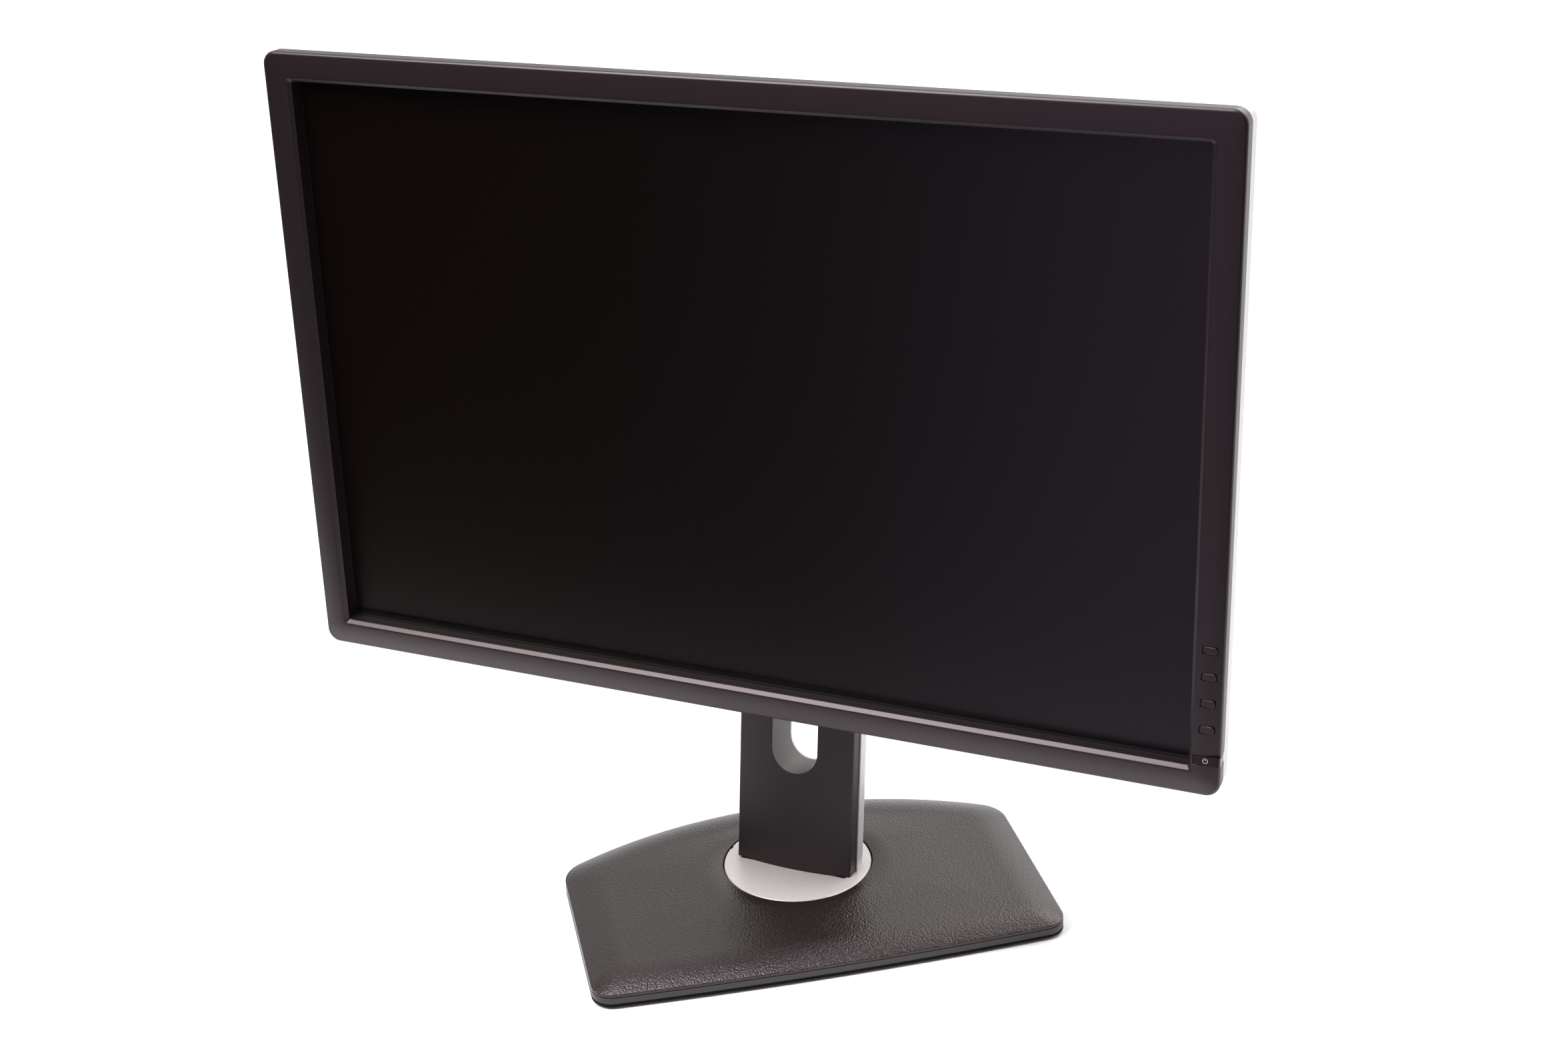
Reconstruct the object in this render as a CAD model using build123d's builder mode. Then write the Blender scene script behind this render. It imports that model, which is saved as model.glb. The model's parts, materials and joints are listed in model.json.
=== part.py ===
from build123d import *
import os
from math import cos, radians, sin, tan

# Desktop computer monitor: a 24 inch 16:10 panel on a stand that swivels, lifts, tilts and pivots.
# Millimetres. The origin lies on the desk, on the swivel axis. +X is the viewer's right,
# -Y faces the viewer and +Z is up. The foot is turned under the column at rest.

os.makedirs("parts", exist_ok=True)

# ---------------------------------------------------------------- driving dimensions
fit = 0.05  # radial clearance of a shaft in its bore
free = 0.3  # clearance between loose moving pieces

# foot
foot_turn = 36.5  # the foot is turned this many degrees to the left of the screen
foot_half = 141.4  # half the width
foot_front_mid = -104.6
foot_front_side = -100.2
foot_back_mid = 79.0
foot_back_side = 38.4
foot_front_radius = 13.0
foot_back_radius = 22.0
tray_low = 2.0  # underside of the tray, above the rubber feet
tray_floor = 1.5
cover_low = 7.5  # parting line between tray and top cover
cover_shoulder = 10.0  # the sides stand upright to here, then slope in
cover_top = 15.4
cover_slope = 66.0
cover_wall = 2.4
cover_hollow = 17.0  # the cover is solid this far in from its edge
cover_lip = 1.4
plate_inset = 3.4
plate_top = 8.0

# turntable
disc_top = 16.5
disc_radius = 45.3
disc_gap = 0.8
shaft_radius = 8.0
bush_radius = 12.0
bush_flange_radius = 24.0
bush_flange_top = 9.6
nut_pocket_radius = 18.0
nut_pocket_top = 5.6
table_low = 9.9
table_top = 12.4
table_radius = 41.0
foot_screw_radius = 2.0
foot_screw_places = [(-25, -13), (25, -13), (-25, 12), (25, 12)]

# column, drawn square to its own raked axis
rake = 8.9
column_length = 343.6
column_half = 37.6
column_front = -10.0  # middle of the bowed front face
column_front_side = -6.6
column_seam = 1.6  # where the front cover meets the rear cover
seam_step = 0.6  # the front cover widens by this towards the seam
cover_start = 6.0  # both covers start below the turntable and are trimmed level with it
rear_cover_split = 118.0  # the lower and upper rear covers meet just above the cable hole
column_back = 20.4
rear_cover_half = 38.9
rear_cover_radius = 13.0
shell_wall = 2.2
hole_radius = 15.2
hole_low = 60.4  # lowest point of the cable hole
hole_length = 48.0
liner_wall = 1.8
liner_length = 25.0
channel_half = 34.0
channel_wall = 1.5
channel_back = 17.5
channel_front = -4.2
channel_corner = 9.0

# lift
lift_travel = 115.0
rail_inner = 25.2
groove_half = 2.7
groove_bottom = 31.0
carriage_low = 228.0
carriage_high = 392.0
carriage_half = 24.8
carriage_thick = 2.4
tab_drop = 6.0  # the rod's tab lies this far below the top of the carriage
strut_y = 8.0
strut_radius = 4.8
rod_radius = 2.5

# head
head_width = 556.0
head_height = 361.2
head_depth = 61.4
head_y = -67.3  # centre of the front plane
head_z = 336.4
head_tilt = 1.76
corner_radius = 8.0
bezel_side = 14.8
bezel_top = 14.4
lip_chamfer = 2.0
bezel_depth = 8.5
panel_face = 9.0  # depth of the panel module's front
rim_depth = 21.0
back_plane = 33.0
mount_plane = 53.4
mount_up = 18.0  # the pivot axis stands this far above the middle of the head
recess_size = 124.0
hinge_depth = 85.0
vesa_pitch = 100.0
key_x = 270.3
key_pitch = 15.02
key_top = -96.3
power_y = -159.2
bay_low = -112.0  # connectors face down from here


def foot_at(height):
    """Level plane at a height, turned with the foot."""
    turn = radians(foot_turn)
    return Plane(origin=(0, 0, height), x_dir=(cos(turn), sin(turn), 0), z_dir=(0, 0, 1))


def column_at(height):
    """Plane square to the raked column; its local y points to the back of the column."""
    lean = radians(rake)
    column = Plane(origin=(0, 0, disc_top), x_dir=(1, 0, 0), z_dir=(0, sin(lean), cos(lean)))
    return column.offset(height)


def head_at(depth):
    """Plane parallel to the screen, at a depth behind the bezel's front; its local y points up."""
    lean = radians(head_tilt)
    face = Plane(origin=(0, head_y, head_z), x_dir=(1, 0, 0), z_dir=(0, -cos(lean), sin(lean)))
    return face.offset(-depth)


def column_side(offset_x):
    """Plane across the column at a distance from its middle; local x is back, local y is up it."""
    base = column_at(0)
    return Plane(origin=base.origin + base.x_dir * offset_x, x_dir=base.y_dir, z_dir=base.x_dir)


def column_face(offset_y):
    """Plane parallel to the column's front; local x is +X and local y is up the column."""
    base = column_at(0)
    return Plane(origin=base.origin + base.y_dir * offset_y, x_dir=base.x_dir, z_dir=-base.y_dir)


def head_side(offset_x):
    """Plane across the head at a distance from its middle; local x is up and local y is forward."""
    base = head_at(0)
    return Plane(origin=base.origin + base.x_dir * offset_x, x_dir=base.y_dir, z_dir=base.x_dir)


def foot_outline(height, inset):
    """The foot's outline: bowed front, straight parallel sides, deeply bowed back."""
    with BuildSketch(foot_at(height)) as outline:
        with BuildLine():
            front = ThreePointArc(
                (-foot_half, foot_front_side), (0, foot_front_mid), (foot_half, foot_front_side)
            )
            back = ThreePointArc(
                (foot_half, foot_back_side), (0, foot_back_mid), (-foot_half, foot_back_side)
            )
            Line(front @ 1, back @ 0)
            Line(back @ 1, front @ 0)
        make_face()
        front_corners = outline.vertices().group_by(Axis.Y)[0]
        fillet(front_corners, foot_front_radius)
        back_corners = outline.vertices().filter_by_position(
            Axis.Y, foot_back_side - 1, foot_back_side + 1
        )
        fillet(back_corners, foot_back_radius)
        if inset > 0:
            offset(amount=-inset, kind=Kind.INTERSECTION)
    return outline.sketch


def hole_outline(offset_y, radius):
    """The cable hole's upright stadium, on a plane parallel to the column's front."""
    with BuildSketch(column_face(offset_y)) as outline:
        with Locations((0, hole_low + hole_length / 2)):
            SlotOverall(hole_length + 2 * (radius - hole_radius), 2 * radius, rotation=90)
    return outline.sketch


# ---------------------------------------------------------------- foot (body: base)
pad_places = [(-116, -88), (116, -88), (-118, 26), (118, 26), (0, 64)]
pad_size = (26, 12)
centre_pad_radius = 24.0  # closes the opening under the swivel nut
nut_opening_radius = 21.0

with BuildPart() as rubber_feet:
    with BuildSketch(foot_at(0)):
        with Locations(pad_places):
            SlotOverall(pad_size[0], pad_size[1])
        Circle(centre_pad_radius)
    extrude(amount=tray_low)
rubber_feet.part.label = "rubber_feet"
export_step(rubber_feet.part, "parts/rubber_feet.step")

with BuildPart() as base_bottom_tray:
    extrude(foot_outline(tray_low, 0), amount=cover_low - tray_low)
    extrude(
        foot_outline(tray_low + tray_floor, 3.0),
        amount=cover_low - tray_low - tray_floor,
        mode=Mode.SUBTRACT,
    )
    with BuildSketch(foot_at(tray_low)):
        Circle(nut_opening_radius)
    extrude(amount=tray_floor, mode=Mode.SUBTRACT)
    low_edges = base_bottom_tray.faces().sort_by(Axis.Z)[0].outer_wire().edges()
    fillet(low_edges, 0.8)
base_bottom_tray.part.label = "base_bottom_tray"
export_step(base_bottom_tray.part, "parts/base_bottom_tray.step")

with BuildPart() as base_steel_plate:
    extrude(foot_outline(tray_low + tray_floor, plate_inset), amount=plate_top - tray_low - tray_floor)
    with BuildSketch(foot_at(0)):
        Circle(bush_radius)
    extrude(amount=plate_top, mode=Mode.SUBTRACT)
    with BuildSketch(foot_at(0)):
        Circle(nut_pocket_radius)
    extrude(amount=nut_pocket_top, mode=Mode.SUBTRACT)
base_steel_plate.part.label = "base_steel_plate"
export_step(base_steel_plate.part, "parts/base_steel_plate.step")

with BuildPart() as base_top_cover:
    extrude(foot_outline(cover_low, 0), amount=cover_shoulder - cover_low)
    extrude(foot_outline(cover_shoulder, 0), amount=cover_top - cover_shoulder, taper=cover_slope)
    extrude(foot_outline(cover_low, cover_wall), amount=cover_lip, mode=Mode.SUBTRACT)
    extrude(foot_outline(cover_low, cover_hollow), amount=cover_top - cover_low - cover_wall, mode=Mode.SUBTRACT)
    with BuildSketch(foot_at(cover_low)):
        Circle(disc_radius + disc_gap)
    extrude(amount=cover_top - cover_low, mode=Mode.SUBTRACT)
base_top_cover.part.label = "base_top_cover"
export_step(base_top_cover.part, "parts/base_top_cover.step")

with BuildPart() as swivel_bush:
    with BuildSketch(foot_at(nut_pocket_top)):
        Circle(bush_radius)
    extrude(amount=plate_top - nut_pocket_top)
    with BuildSketch(foot_at(plate_top)):
        Circle(bush_flange_radius)
    extrude(amount=bush_flange_top - plate_top)
    with BuildSketch(foot_at(nut_pocket_top)):
        Circle(shaft_radius + fit)
    extrude(amount=bush_flange_top - nut_pocket_top, mode=Mode.SUBTRACT)
swivel_bush.part.label = "swivel_bush"
export_step(swivel_bush.part, "parts/swivel_bush.step")

# ---------------------------------------------------------------- turntable (body: column)
nut_low = 2.4
nut_top = 5.0
nut_radius = 14.0
washer_radius = 16.0
with BuildPart() as swivel_shaft:
    with BuildSketch(Plane.XY.offset(nut_low)):
        Circle(shaft_radius)
    extrude(amount=table_low - nut_low)
swivel_shaft.part.label = "swivel_shaft"
export_step(swivel_shaft.part, "parts/swivel_shaft.step")

with BuildPart() as swivel_nut:
    with BuildSketch(Plane.XY.offset(nut_low)):
        RegularPolygon(nut_radius, 6)
        Circle(shaft_radius, mode=Mode.SUBTRACT)
    extrude(amount=nut_top - nut_low)
swivel_nut.part.label = "swivel_nut"
export_step(swivel_nut.part, "parts/swivel_nut.step")

with BuildPart() as swivel_washer:
    with BuildSketch(Plane.XY.offset(nut_top)):
        Circle(washer_radius)
        Circle(shaft_radius, mode=Mode.SUBTRACT)
    extrude(amount=nut_pocket_top - 0.1 - nut_top)
swivel_washer.part.label = "swivel_washer"
export_step(swivel_washer.part, "parts/swivel_washer.step")

with BuildPart() as turntable_plate:
    with BuildSketch(Plane.XY.offset(table_low)):
        Circle(table_radius)
        with Locations(foot_screw_places):
            Circle(foot_screw_radius, mode=Mode.SUBTRACT)
    extrude(amount=table_top - table_low)
turntable_plate.part.label = "turntable_plate"
export_step(turntable_plate.part, "parts/turntable_plate.step")

disc_skin = 1.5
disc_window = (70, 27)  # the column passes down through it
rim_notch = (2.0, 3.2)
with BuildPart() as turntable_disc:
    with BuildSketch(Plane.XY.offset(table_top + 0.2)):
        Circle(disc_radius)
    extrude(amount=disc_top - table_top - 0.2)
    with BuildSketch(Plane.XY.offset(table_top)):
        Circle(disc_radius - disc_skin)
    extrude(amount=disc_top - disc_skin - table_top, mode=Mode.SUBTRACT)
    with BuildSketch(Plane.XY.offset(disc_top - disc_skin)):
        with Locations((0, 5)):
            Rectangle(disc_window[0], disc_window[1])
    extrude(amount=disc_skin, mode=Mode.SUBTRACT)
    disc_edge = turntable_disc.faces().sort_by(Axis.Z)[-1].outer_wire().edges()
    fillet(disc_edge, 0.6)
    with BuildSketch(Plane.XY.offset(table_top)):
        with Locations((-disc_radius, 0)):
            Rectangle(rim_notch[0], rim_notch[1])
    extrude(amount=disc_top - table_top, mode=Mode.SUBTRACT)
turntable_disc.part.label = "turntable_disc"
export_step(turntable_disc.part, "parts/turntable_disc.step")

# ---------------------------------------------------------------- column (body: column)
channel_foot_top = disc_top - disc_skin - 0.1
channel_foot_depth = 44.0
channel_open = 4.0  # the hollow runs out past the channel's open front by this
below_foot = 12.0  # the raked section starts below the foot plate and is trimmed level
with BuildPart() as column_channel:
    with BuildSketch(column_at(-below_foot)) as channel_profile:
        with Locations((0, (channel_back + channel_front) / 2)):
            Rectangle(2 * channel_half, channel_back - channel_front)
        fillet(channel_profile.vertices().group_by(Axis.Y)[-1], channel_corner)
        with BuildSketch(mode=Mode.PRIVATE) as channel_hollow:
            hollow_back = channel_back - channel_wall
            hollow_front = channel_front - channel_open
            with Locations((0, (hollow_back + hollow_front) / 2)):
                Rectangle(2 * (channel_half - channel_wall), hollow_back - hollow_front)
            fillet(channel_hollow.vertices().group_by(Axis.Y)[-1], channel_corner - channel_wall)
        add(channel_hollow.sketch, mode=Mode.SUBTRACT)
    extrude(amount=below_foot + column_length - 3.0)
    split(bisect_by=Plane.XY.offset(table_top + 1), keep=Keep.TOP)
    with BuildSketch(Plane.XY.offset(table_top)):
        with Locations((0, 2)):
            Rectangle(2 * channel_half + 2, channel_foot_depth)
        with Locations(foot_screw_places):
            Circle(foot_screw_radius, mode=Mode.SUBTRACT)
    extrude(amount=channel_foot_top - table_top)
    extrude(hole_outline(channel_back, hole_radius + liner_wall), amount=3, mode=Mode.SUBTRACT)
column_channel.part.label = "column_channel"
export_step(column_channel.part, "parts/column_channel.step")

slot_half = 19.0
slot_low = 205.0
slot_length = 200.0
front_edge_round = 1.2
with BuildPart() as column_front_cover:
    with BuildSketch(column_at(-cover_start)):
        with BuildLine():
            outer = ThreePointArc(
                (-column_half, column_front_side), (0, column_front), (column_half, column_front_side)
            )
            Line(outer @ 1, (column_half + seam_step, column_seam))
            Line((column_half + seam_step, column_seam), (column_half - shell_wall, column_seam))
            inner = ThreePointArc(
                (column_half - shell_wall, column_front_side + shell_wall),
                (0, column_front + shell_wall),
                (shell_wall - column_half, column_front_side + shell_wall),
            )
            Line((column_half - shell_wall, column_seam), inner @ 0)
            Line(inner @ 1, (shell_wall - column_half, column_seam))
            Line((shell_wall - column_half, column_seam), (-column_half - seam_step, column_seam))
            Line((-column_half - seam_step, column_seam), outer @ 0)
        make_face()
    extrude(amount=cover_start + column_length)
    split(bisect_by=Plane.XY.offset(disc_top), keep=Keep.TOP)
    extrude(hole_outline(0, hole_radius), amount=12, mode=Mode.SUBTRACT)
    with BuildSketch(column_face(0)):
        with Locations((0, slot_low + slot_length / 2)):
            Rectangle(2 * slot_half, slot_length)
    extrude(amount=12, mode=Mode.SUBTRACT)
    column_axis = Axis((0, 0, disc_top), (0, sin(radians(rake)), cos(radians(rake))))
    face_edges = column_front_cover.edges().filter_by(column_axis)
    front_corners = face_edges.filter_by(lambda edge: abs(abs(edge.center().X) - column_half) < 0.01)
    fillet(front_corners, front_edge_round)
column_front_cover.part.label = "column_front_cover"
export_step(column_front_cover.part, "parts/column_front_cover.step")

with BuildPart() as column_rear_cover:
    with BuildSketch(column_at(-cover_start)) as rear_profile:
        with Locations((0, (column_seam + column_back) / 2)):
            Rectangle(2 * rear_cover_half, column_back - column_seam)
        fillet(rear_profile.vertices().group_by(Axis.Y)[-1], rear_cover_radius)
        with BuildSketch(mode=Mode.PRIVATE) as hollow:
            hollow_back = column_back - shell_wall
            hollow_front = column_seam - 5
            with Locations((0, (hollow_back + hollow_front) / 2)):
                Rectangle(2 * (rear_cover_half - shell_wall), hollow_back - hollow_front)
            fillet(hollow.vertices().group_by(Axis.Y)[-1], rear_cover_radius - shell_wall)
        add(hollow.sketch, mode=Mode.SUBTRACT)
    extrude(amount=cover_start + column_length)
    split(bisect_by=Plane.XY.offset(disc_top), keep=Keep.TOP)
    extrude(hole_outline(column_back, hole_radius), amount=8, mode=Mode.SUBTRACT)
    split(bisect_by=column_at(rear_cover_split), keep=Keep.BOTH)
column_rear_cover.part.label = "column_rear_cover"
export_step(column_rear_cover.part, "parts/column_rear_cover.step")

with BuildPart() as cable_hole_liner:
    extrude(hole_outline(column_back - shell_wall, hole_radius + liner_wall), amount=liner_length)
    extrude(hole_outline(column_back, hole_radius), amount=35.0, mode=Mode.SUBTRACT)
cable_hole_liner.part.label = "cable_hole_liner"
export_step(cable_hole_liner.part, "parts/cable_hole_liner.step")

rail_low = 100.0
rail_high = 338.0
rail_depth = 9.0
for side, rail_name in ((-1, "slide_rail_left"), (1, "slide_rail_right")):
    with BuildPart() as slide_rail:
        with BuildSketch(column_at(rail_low)):
            with Locations((side * (rail_inner + channel_half - channel_wall) / 2, 0)):
                Rectangle(channel_half - channel_wall - rail_inner, rail_depth)
            with Locations((side * (rail_inner + groove_bottom) / 2, 0)):
                Rectangle(groove_bottom - rail_inner, 2 * groove_half, mode=Mode.SUBTRACT)
        extrude(amount=rail_high - rail_low)
    slide_rail.part.label = rail_name
    export_step(slide_rail.part, f"parts/{rail_name}.step")

strut_low = 118.0
strut_high = 268.0
strut_floor = 5.0
strut_clip = (12, 4)
rod_overlap = 13.0  # the rod's lower end stays this far inside the cylinder
with BuildPart() as lift_cylinder:
    with BuildSketch(column_at(strut_low)):
        with Locations((0, strut_y)):
            Circle(strut_radius)
    extrude(amount=strut_high - strut_low)
    with BuildSketch(column_at(strut_low + strut_floor)):
        with Locations((0, strut_y)):
            Circle(rod_radius + fit)
    extrude(amount=strut_high - strut_low - strut_floor, mode=Mode.SUBTRACT)
    with BuildSketch(column_at(strut_low)):
        with Locations((0, (strut_y + channel_back - channel_wall) / 2)):
            Rectangle(strut_clip[0], channel_back - channel_wall - strut_y)
    extrude(amount=strut_clip[1])
lift_cylinder.part.label = "lift_cylinder"
export_step(lift_cylinder.part, "parts/lift_cylinder.step")

cap_thick = 2.4
with BuildPart() as column_top_cap:
    with BuildSketch(column_at(column_length)) as cap_profile:
        with BuildLine():
            cap_front = ThreePointArc(
                (-column_half, column_front_side), (0, column_front), (column_half, column_front_side)
            )
            Line(cap_front @ 1, (rear_cover_half, column_seam))
            Line((rear_cover_half, column_seam), (rear_cover_half, column_back))
            Line((rear_cover_half, column_back), (-rear_cover_half, column_back))
            Line((-rear_cover_half, column_back), (-rear_cover_half, column_seam))
            Line((-rear_cover_half, column_seam), cap_front @ 0)
        make_face()
        fillet(cap_profile.vertices().group_by(Axis.Y)[-1], rear_cover_radius)
        with Locations((0, 5)):
            Rectangle(2 * (carriage_half + 0.8), 22, mode=Mode.SUBTRACT)
        with Locations((0, -8)):
            Rectangle(2 * slot_half, 14, mode=Mode.SUBTRACT)
    extrude(amount=cap_thick)
column_top_cap.part.label = "column_top_cap"
export_step(column_top_cap.part, "parts/column_top_cap.step")

with BuildPart() as column_screws:
    with BuildSketch(Plane.XY.offset(table_low)):
        with Locations(foot_screw_places):
            Circle(foot_screw_radius)
    extrude(amount=channel_foot_top - table_low)
column_screws.part.label = "column_screws"
export_step(column_screws.part, "parts/column_screws.step")

# ---------------------------------------------------------------- lift carriage (body: carriage)
tab_middle = 7.0
tab_size = (18, 12)
tab_thick = 3.0
with BuildPart() as carriage_plate:
    with BuildSketch(column_at(carriage_low)):
        Rectangle(2 * carriage_half, carriage_thick)
    extrude(amount=carriage_high - carriage_low)
    with BuildSketch(column_at(carriage_high - tab_drop)):
        with Locations((0, tab_middle)):
            Rectangle(tab_size[0], tab_size[1])
    extrude(amount=tab_thick)
carriage_plate.part.label = "carriage_plate"
export_step(carriage_plate.part, "parts/carriage_plate.step")

shoe_length = 20.0
shoe_gap = 0.2
shoe_heights = (carriage_low + 2, rail_high - 6 - shoe_length)
with BuildPart() as carriage_shoes:
    for shoe_height in shoe_heights:
        with BuildSketch(column_at(shoe_height)):
            for side in (-1, 1):
                with Locations((side * (carriage_half + groove_bottom - shoe_gap) / 2, 0)):
                    Rectangle(groove_bottom - shoe_gap - carriage_half, 2 * (groove_half - shoe_gap))
        extrude(amount=shoe_length)
carriage_shoes.part.label = "carriage_shoes"
export_step(carriage_shoes.part, "parts/carriage_shoes.step")

with BuildPart() as lift_rod:
    with BuildSketch(column_at(strut_high - rod_overlap)):
        with Locations((0, strut_y)):
            Circle(rod_radius)
    extrude(amount=carriage_high - tab_drop - strut_high + rod_overlap)
lift_rod.part.label = "lift_rod"
export_step(lift_rod.part, "parts/lift_rod.step")

shroud_low = 298.0
shroud_high = 397.0
shroud_back = 15.4
with BuildPart() as carriage_shroud:
    with BuildSketch(column_at(shroud_low)) as shroud_profile:
        with Locations((0, (carriage_thick / 2 + shroud_back) / 2)):
            Rectangle(2 * carriage_half, shroud_back - carriage_thick / 2)
        fillet(shroud_profile.vertices().group_by(Axis.Y)[-1], 4)
    extrude(amount=shroud_high - shroud_low)
    with BuildSketch(column_at(shroud_low)):
        with Locations((0, (shroud_back - 2) / 2)):
            Rectangle(2 * carriage_half - 4, shroud_back - 2)
    extrude(amount=carriage_high - shroud_low, mode=Mode.SUBTRACT)
    with BuildSketch(column_at(carriage_high)):
        Rectangle(2 * carriage_half, carriage_thick)
    extrude(amount=shroud_high - carriage_high)
carriage_shroud.part.label = "carriage_shroud"
export_step(carriage_shroud.part, "parts/carriage_shroud.step")

# the tilt hinge: its axis lies behind the pivot, on the line square to the screen
tilt = radians(head_tilt)
lean = radians(rake)
hinge_y = head_y + mount_up * sin(tilt) + hinge_depth * cos(tilt)
hinge_z = head_z + mount_up * cos(tilt) - hinge_depth * sin(tilt)
hinge_back = hinge_y * cos(lean) - (hinge_z - disc_top) * sin(lean)
hinge_up = hinge_y * sin(lean) + (hinge_z - disc_top) * cos(lean)
hinge_shaft_radius = 4.0
ear_radius = 9.0
inner_ear = 12.0
outer_ear = 15.4
ear_thick = 3.0
bracket_size = (38, 46)
bracket_thick = 2.5

with BuildPart() as hinge_bracket:
    with BuildSketch(column_face(-carriage_thick / 2)):
        with Locations((0, hinge_up)):
            RectangleRounded(bracket_size[0], bracket_size[1], 5)
    extrude(amount=bracket_thick)
    for side in (inner_ear, -inner_ear - ear_thick):
        with BuildSketch(column_side(side)):
            with Locations((hinge_back, hinge_up)):
                Circle(ear_radius)
            bracket_front = -carriage_thick / 2 - bracket_thick
            with Locations(((hinge_back + bracket_front) / 2, hinge_up)):
                Rectangle(bracket_front - hinge_back, 2 * ear_radius)
            with Locations((hinge_back, hinge_up)):
                Circle(hinge_shaft_radius, mode=Mode.SUBTRACT)
        extrude(amount=ear_thick)
hinge_bracket.part.label = "hinge_bracket"
export_step(hinge_bracket.part, "parts/hinge_bracket.step")

shaft_half = 24.0
with BuildPart() as hinge_shaft:
    with BuildSketch(column_side(-shaft_half)):
        with Locations((hinge_back, hinge_up)):
            Circle(hinge_shaft_radius)
    extrude(amount=2 * shaft_half)
hinge_shaft.part.label = "hinge_shaft"
export_step(hinge_shaft.part, "parts/hinge_shaft.step")

washer_inner = outer_ear + ear_thick + 0.1
washer_thick = 1.0
hinge_washer_radius = 8.0
with BuildPart() as hinge_washers:
    for side in (washer_inner, -washer_inner - washer_thick):
        with BuildSketch(column_side(side)):
            with Locations((hinge_back, hinge_up)):
                Circle(hinge_washer_radius)
                Circle(hinge_shaft_radius, mode=Mode.SUBTRACT)
        extrude(amount=washer_thick)
hinge_washers.part.label = "hinge_washers"
export_step(hinge_washers.part, "parts/hinge_washers.step")

nut_inner = washer_inner + washer_thick
nut_thick = 3.5
hinge_nut_radius = 7.0
with BuildPart() as hinge_nuts:
    for side in (nut_inner, -nut_inner - nut_thick):
        with BuildSketch(column_side(side)):
            with Locations((hinge_back, hinge_up)):
                RegularPolygon(hinge_nut_radius, 6)
                Circle(hinge_shaft_radius, mode=Mode.SUBTRACT)
        extrude(amount=nut_thick)
hinge_nuts.part.label = "hinge_nuts"
export_step(hinge_nuts.part, "parts/hinge_nuts.step")

# ---------------------------------------------------------------- tilt yoke (body: tilt)
pivot_near = 51.0
yoke_near = 57.2
yoke_far = 60.2
pivot_radius = 9.0
pivot_bore = 6.0
yoke_size = 52.0
retainer_radius = 14.0
retainer_thick = 1.5
pivot_washer_radius = 22.0
with BuildPart() as tilt_yoke:
    with BuildSketch(head_at(yoke_far)):
        with Locations((0, mount_up)):
            RectangleRounded(yoke_size, yoke_size, 6)
            Circle(pivot_radius, mode=Mode.SUBTRACT)
    extrude(amount=yoke_far - yoke_near)
    for side in (outer_ear, -outer_ear - ear_thick):
        with BuildSketch(head_side(side)):
            with Locations((mount_up, -hinge_depth)):
                Circle(ear_radius)
            with Locations((mount_up, -(hinge_depth + yoke_far) / 2)):
                Rectangle(2 * ear_radius, hinge_depth - yoke_far)
            with Locations((mount_up, -hinge_depth)):
                Circle(hinge_shaft_radius + fit, mode=Mode.SUBTRACT)
        extrude(amount=ear_thick)
tilt_yoke.part.label = "tilt_yoke"
export_step(tilt_yoke.part, "parts/tilt_yoke.step")

with BuildPart() as pivot_shaft:
    with BuildSketch(head_at(yoke_far)):
        with Locations((0, mount_up)):
            Circle(pivot_radius)
            Circle(pivot_bore, mode=Mode.SUBTRACT)
    extrude(amount=yoke_far - pivot_near)
pivot_shaft.part.label = "pivot_shaft"
export_step(pivot_shaft.part, "parts/pivot_shaft.step")

plate_near = mount_plane
plate_far = mount_plane + 3.2
with BuildPart() as pivot_retainer:
    with BuildSketch(head_at(plate_near - 0.1)):
        with Locations((0, mount_up)):
            Circle(retainer_radius)
            Circle(pivot_radius, mode=Mode.SUBTRACT)
    extrude(amount=retainer_thick)
pivot_retainer.part.label = "pivot_retainer"
export_step(pivot_retainer.part, "parts/pivot_retainer.step")

with BuildPart() as pivot_washer:
    with BuildSketch(head_at(yoke_near)):
        with Locations((0, mount_up)):
            Circle(pivot_washer_radius)
            Circle(pivot_radius + 1, mode=Mode.SUBTRACT)
    extrude(amount=yoke_near - plate_far - 0.1)
pivot_washer.part.label = "pivot_washer"
export_step(pivot_washer.part, "parts/pivot_washer.step")

cover_far = 81.0
hinge_cover_size = (58, 40)
hinge_cover_wall = 1.8
with BuildPart() as hinge_cover:
    with BuildSketch(head_at(cover_far)):
        with Locations((0, mount_up)):
            RectangleRounded(hinge_cover_size[0], hinge_cover_size[1], 6)
            offset(amount=-hinge_cover_wall, mode=Mode.SUBTRACT)
    extrude(amount=cover_far - yoke_far)
hinge_cover.part.label = "hinge_cover"
export_step(hinge_cover.part, "parts/hinge_cover.step")

# ---------------------------------------------------------------- head shells (body: head)
window_width = head_width - 2 * bezel_side
window_height = head_height - 2 * bezel_top
lip_width = window_width - 2 * lip_chamfer
lip_height = window_height - 2 * lip_chamfer
skin = 2.4
osd_keys_y = [key_top - step * key_pitch for step in range(4)]
osd_hole = (8.2, 4.5)
osd_size = (7.6, 3.9)
power_left = 264.0
power_height = 5.2
power_side_depth = 7.4

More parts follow.
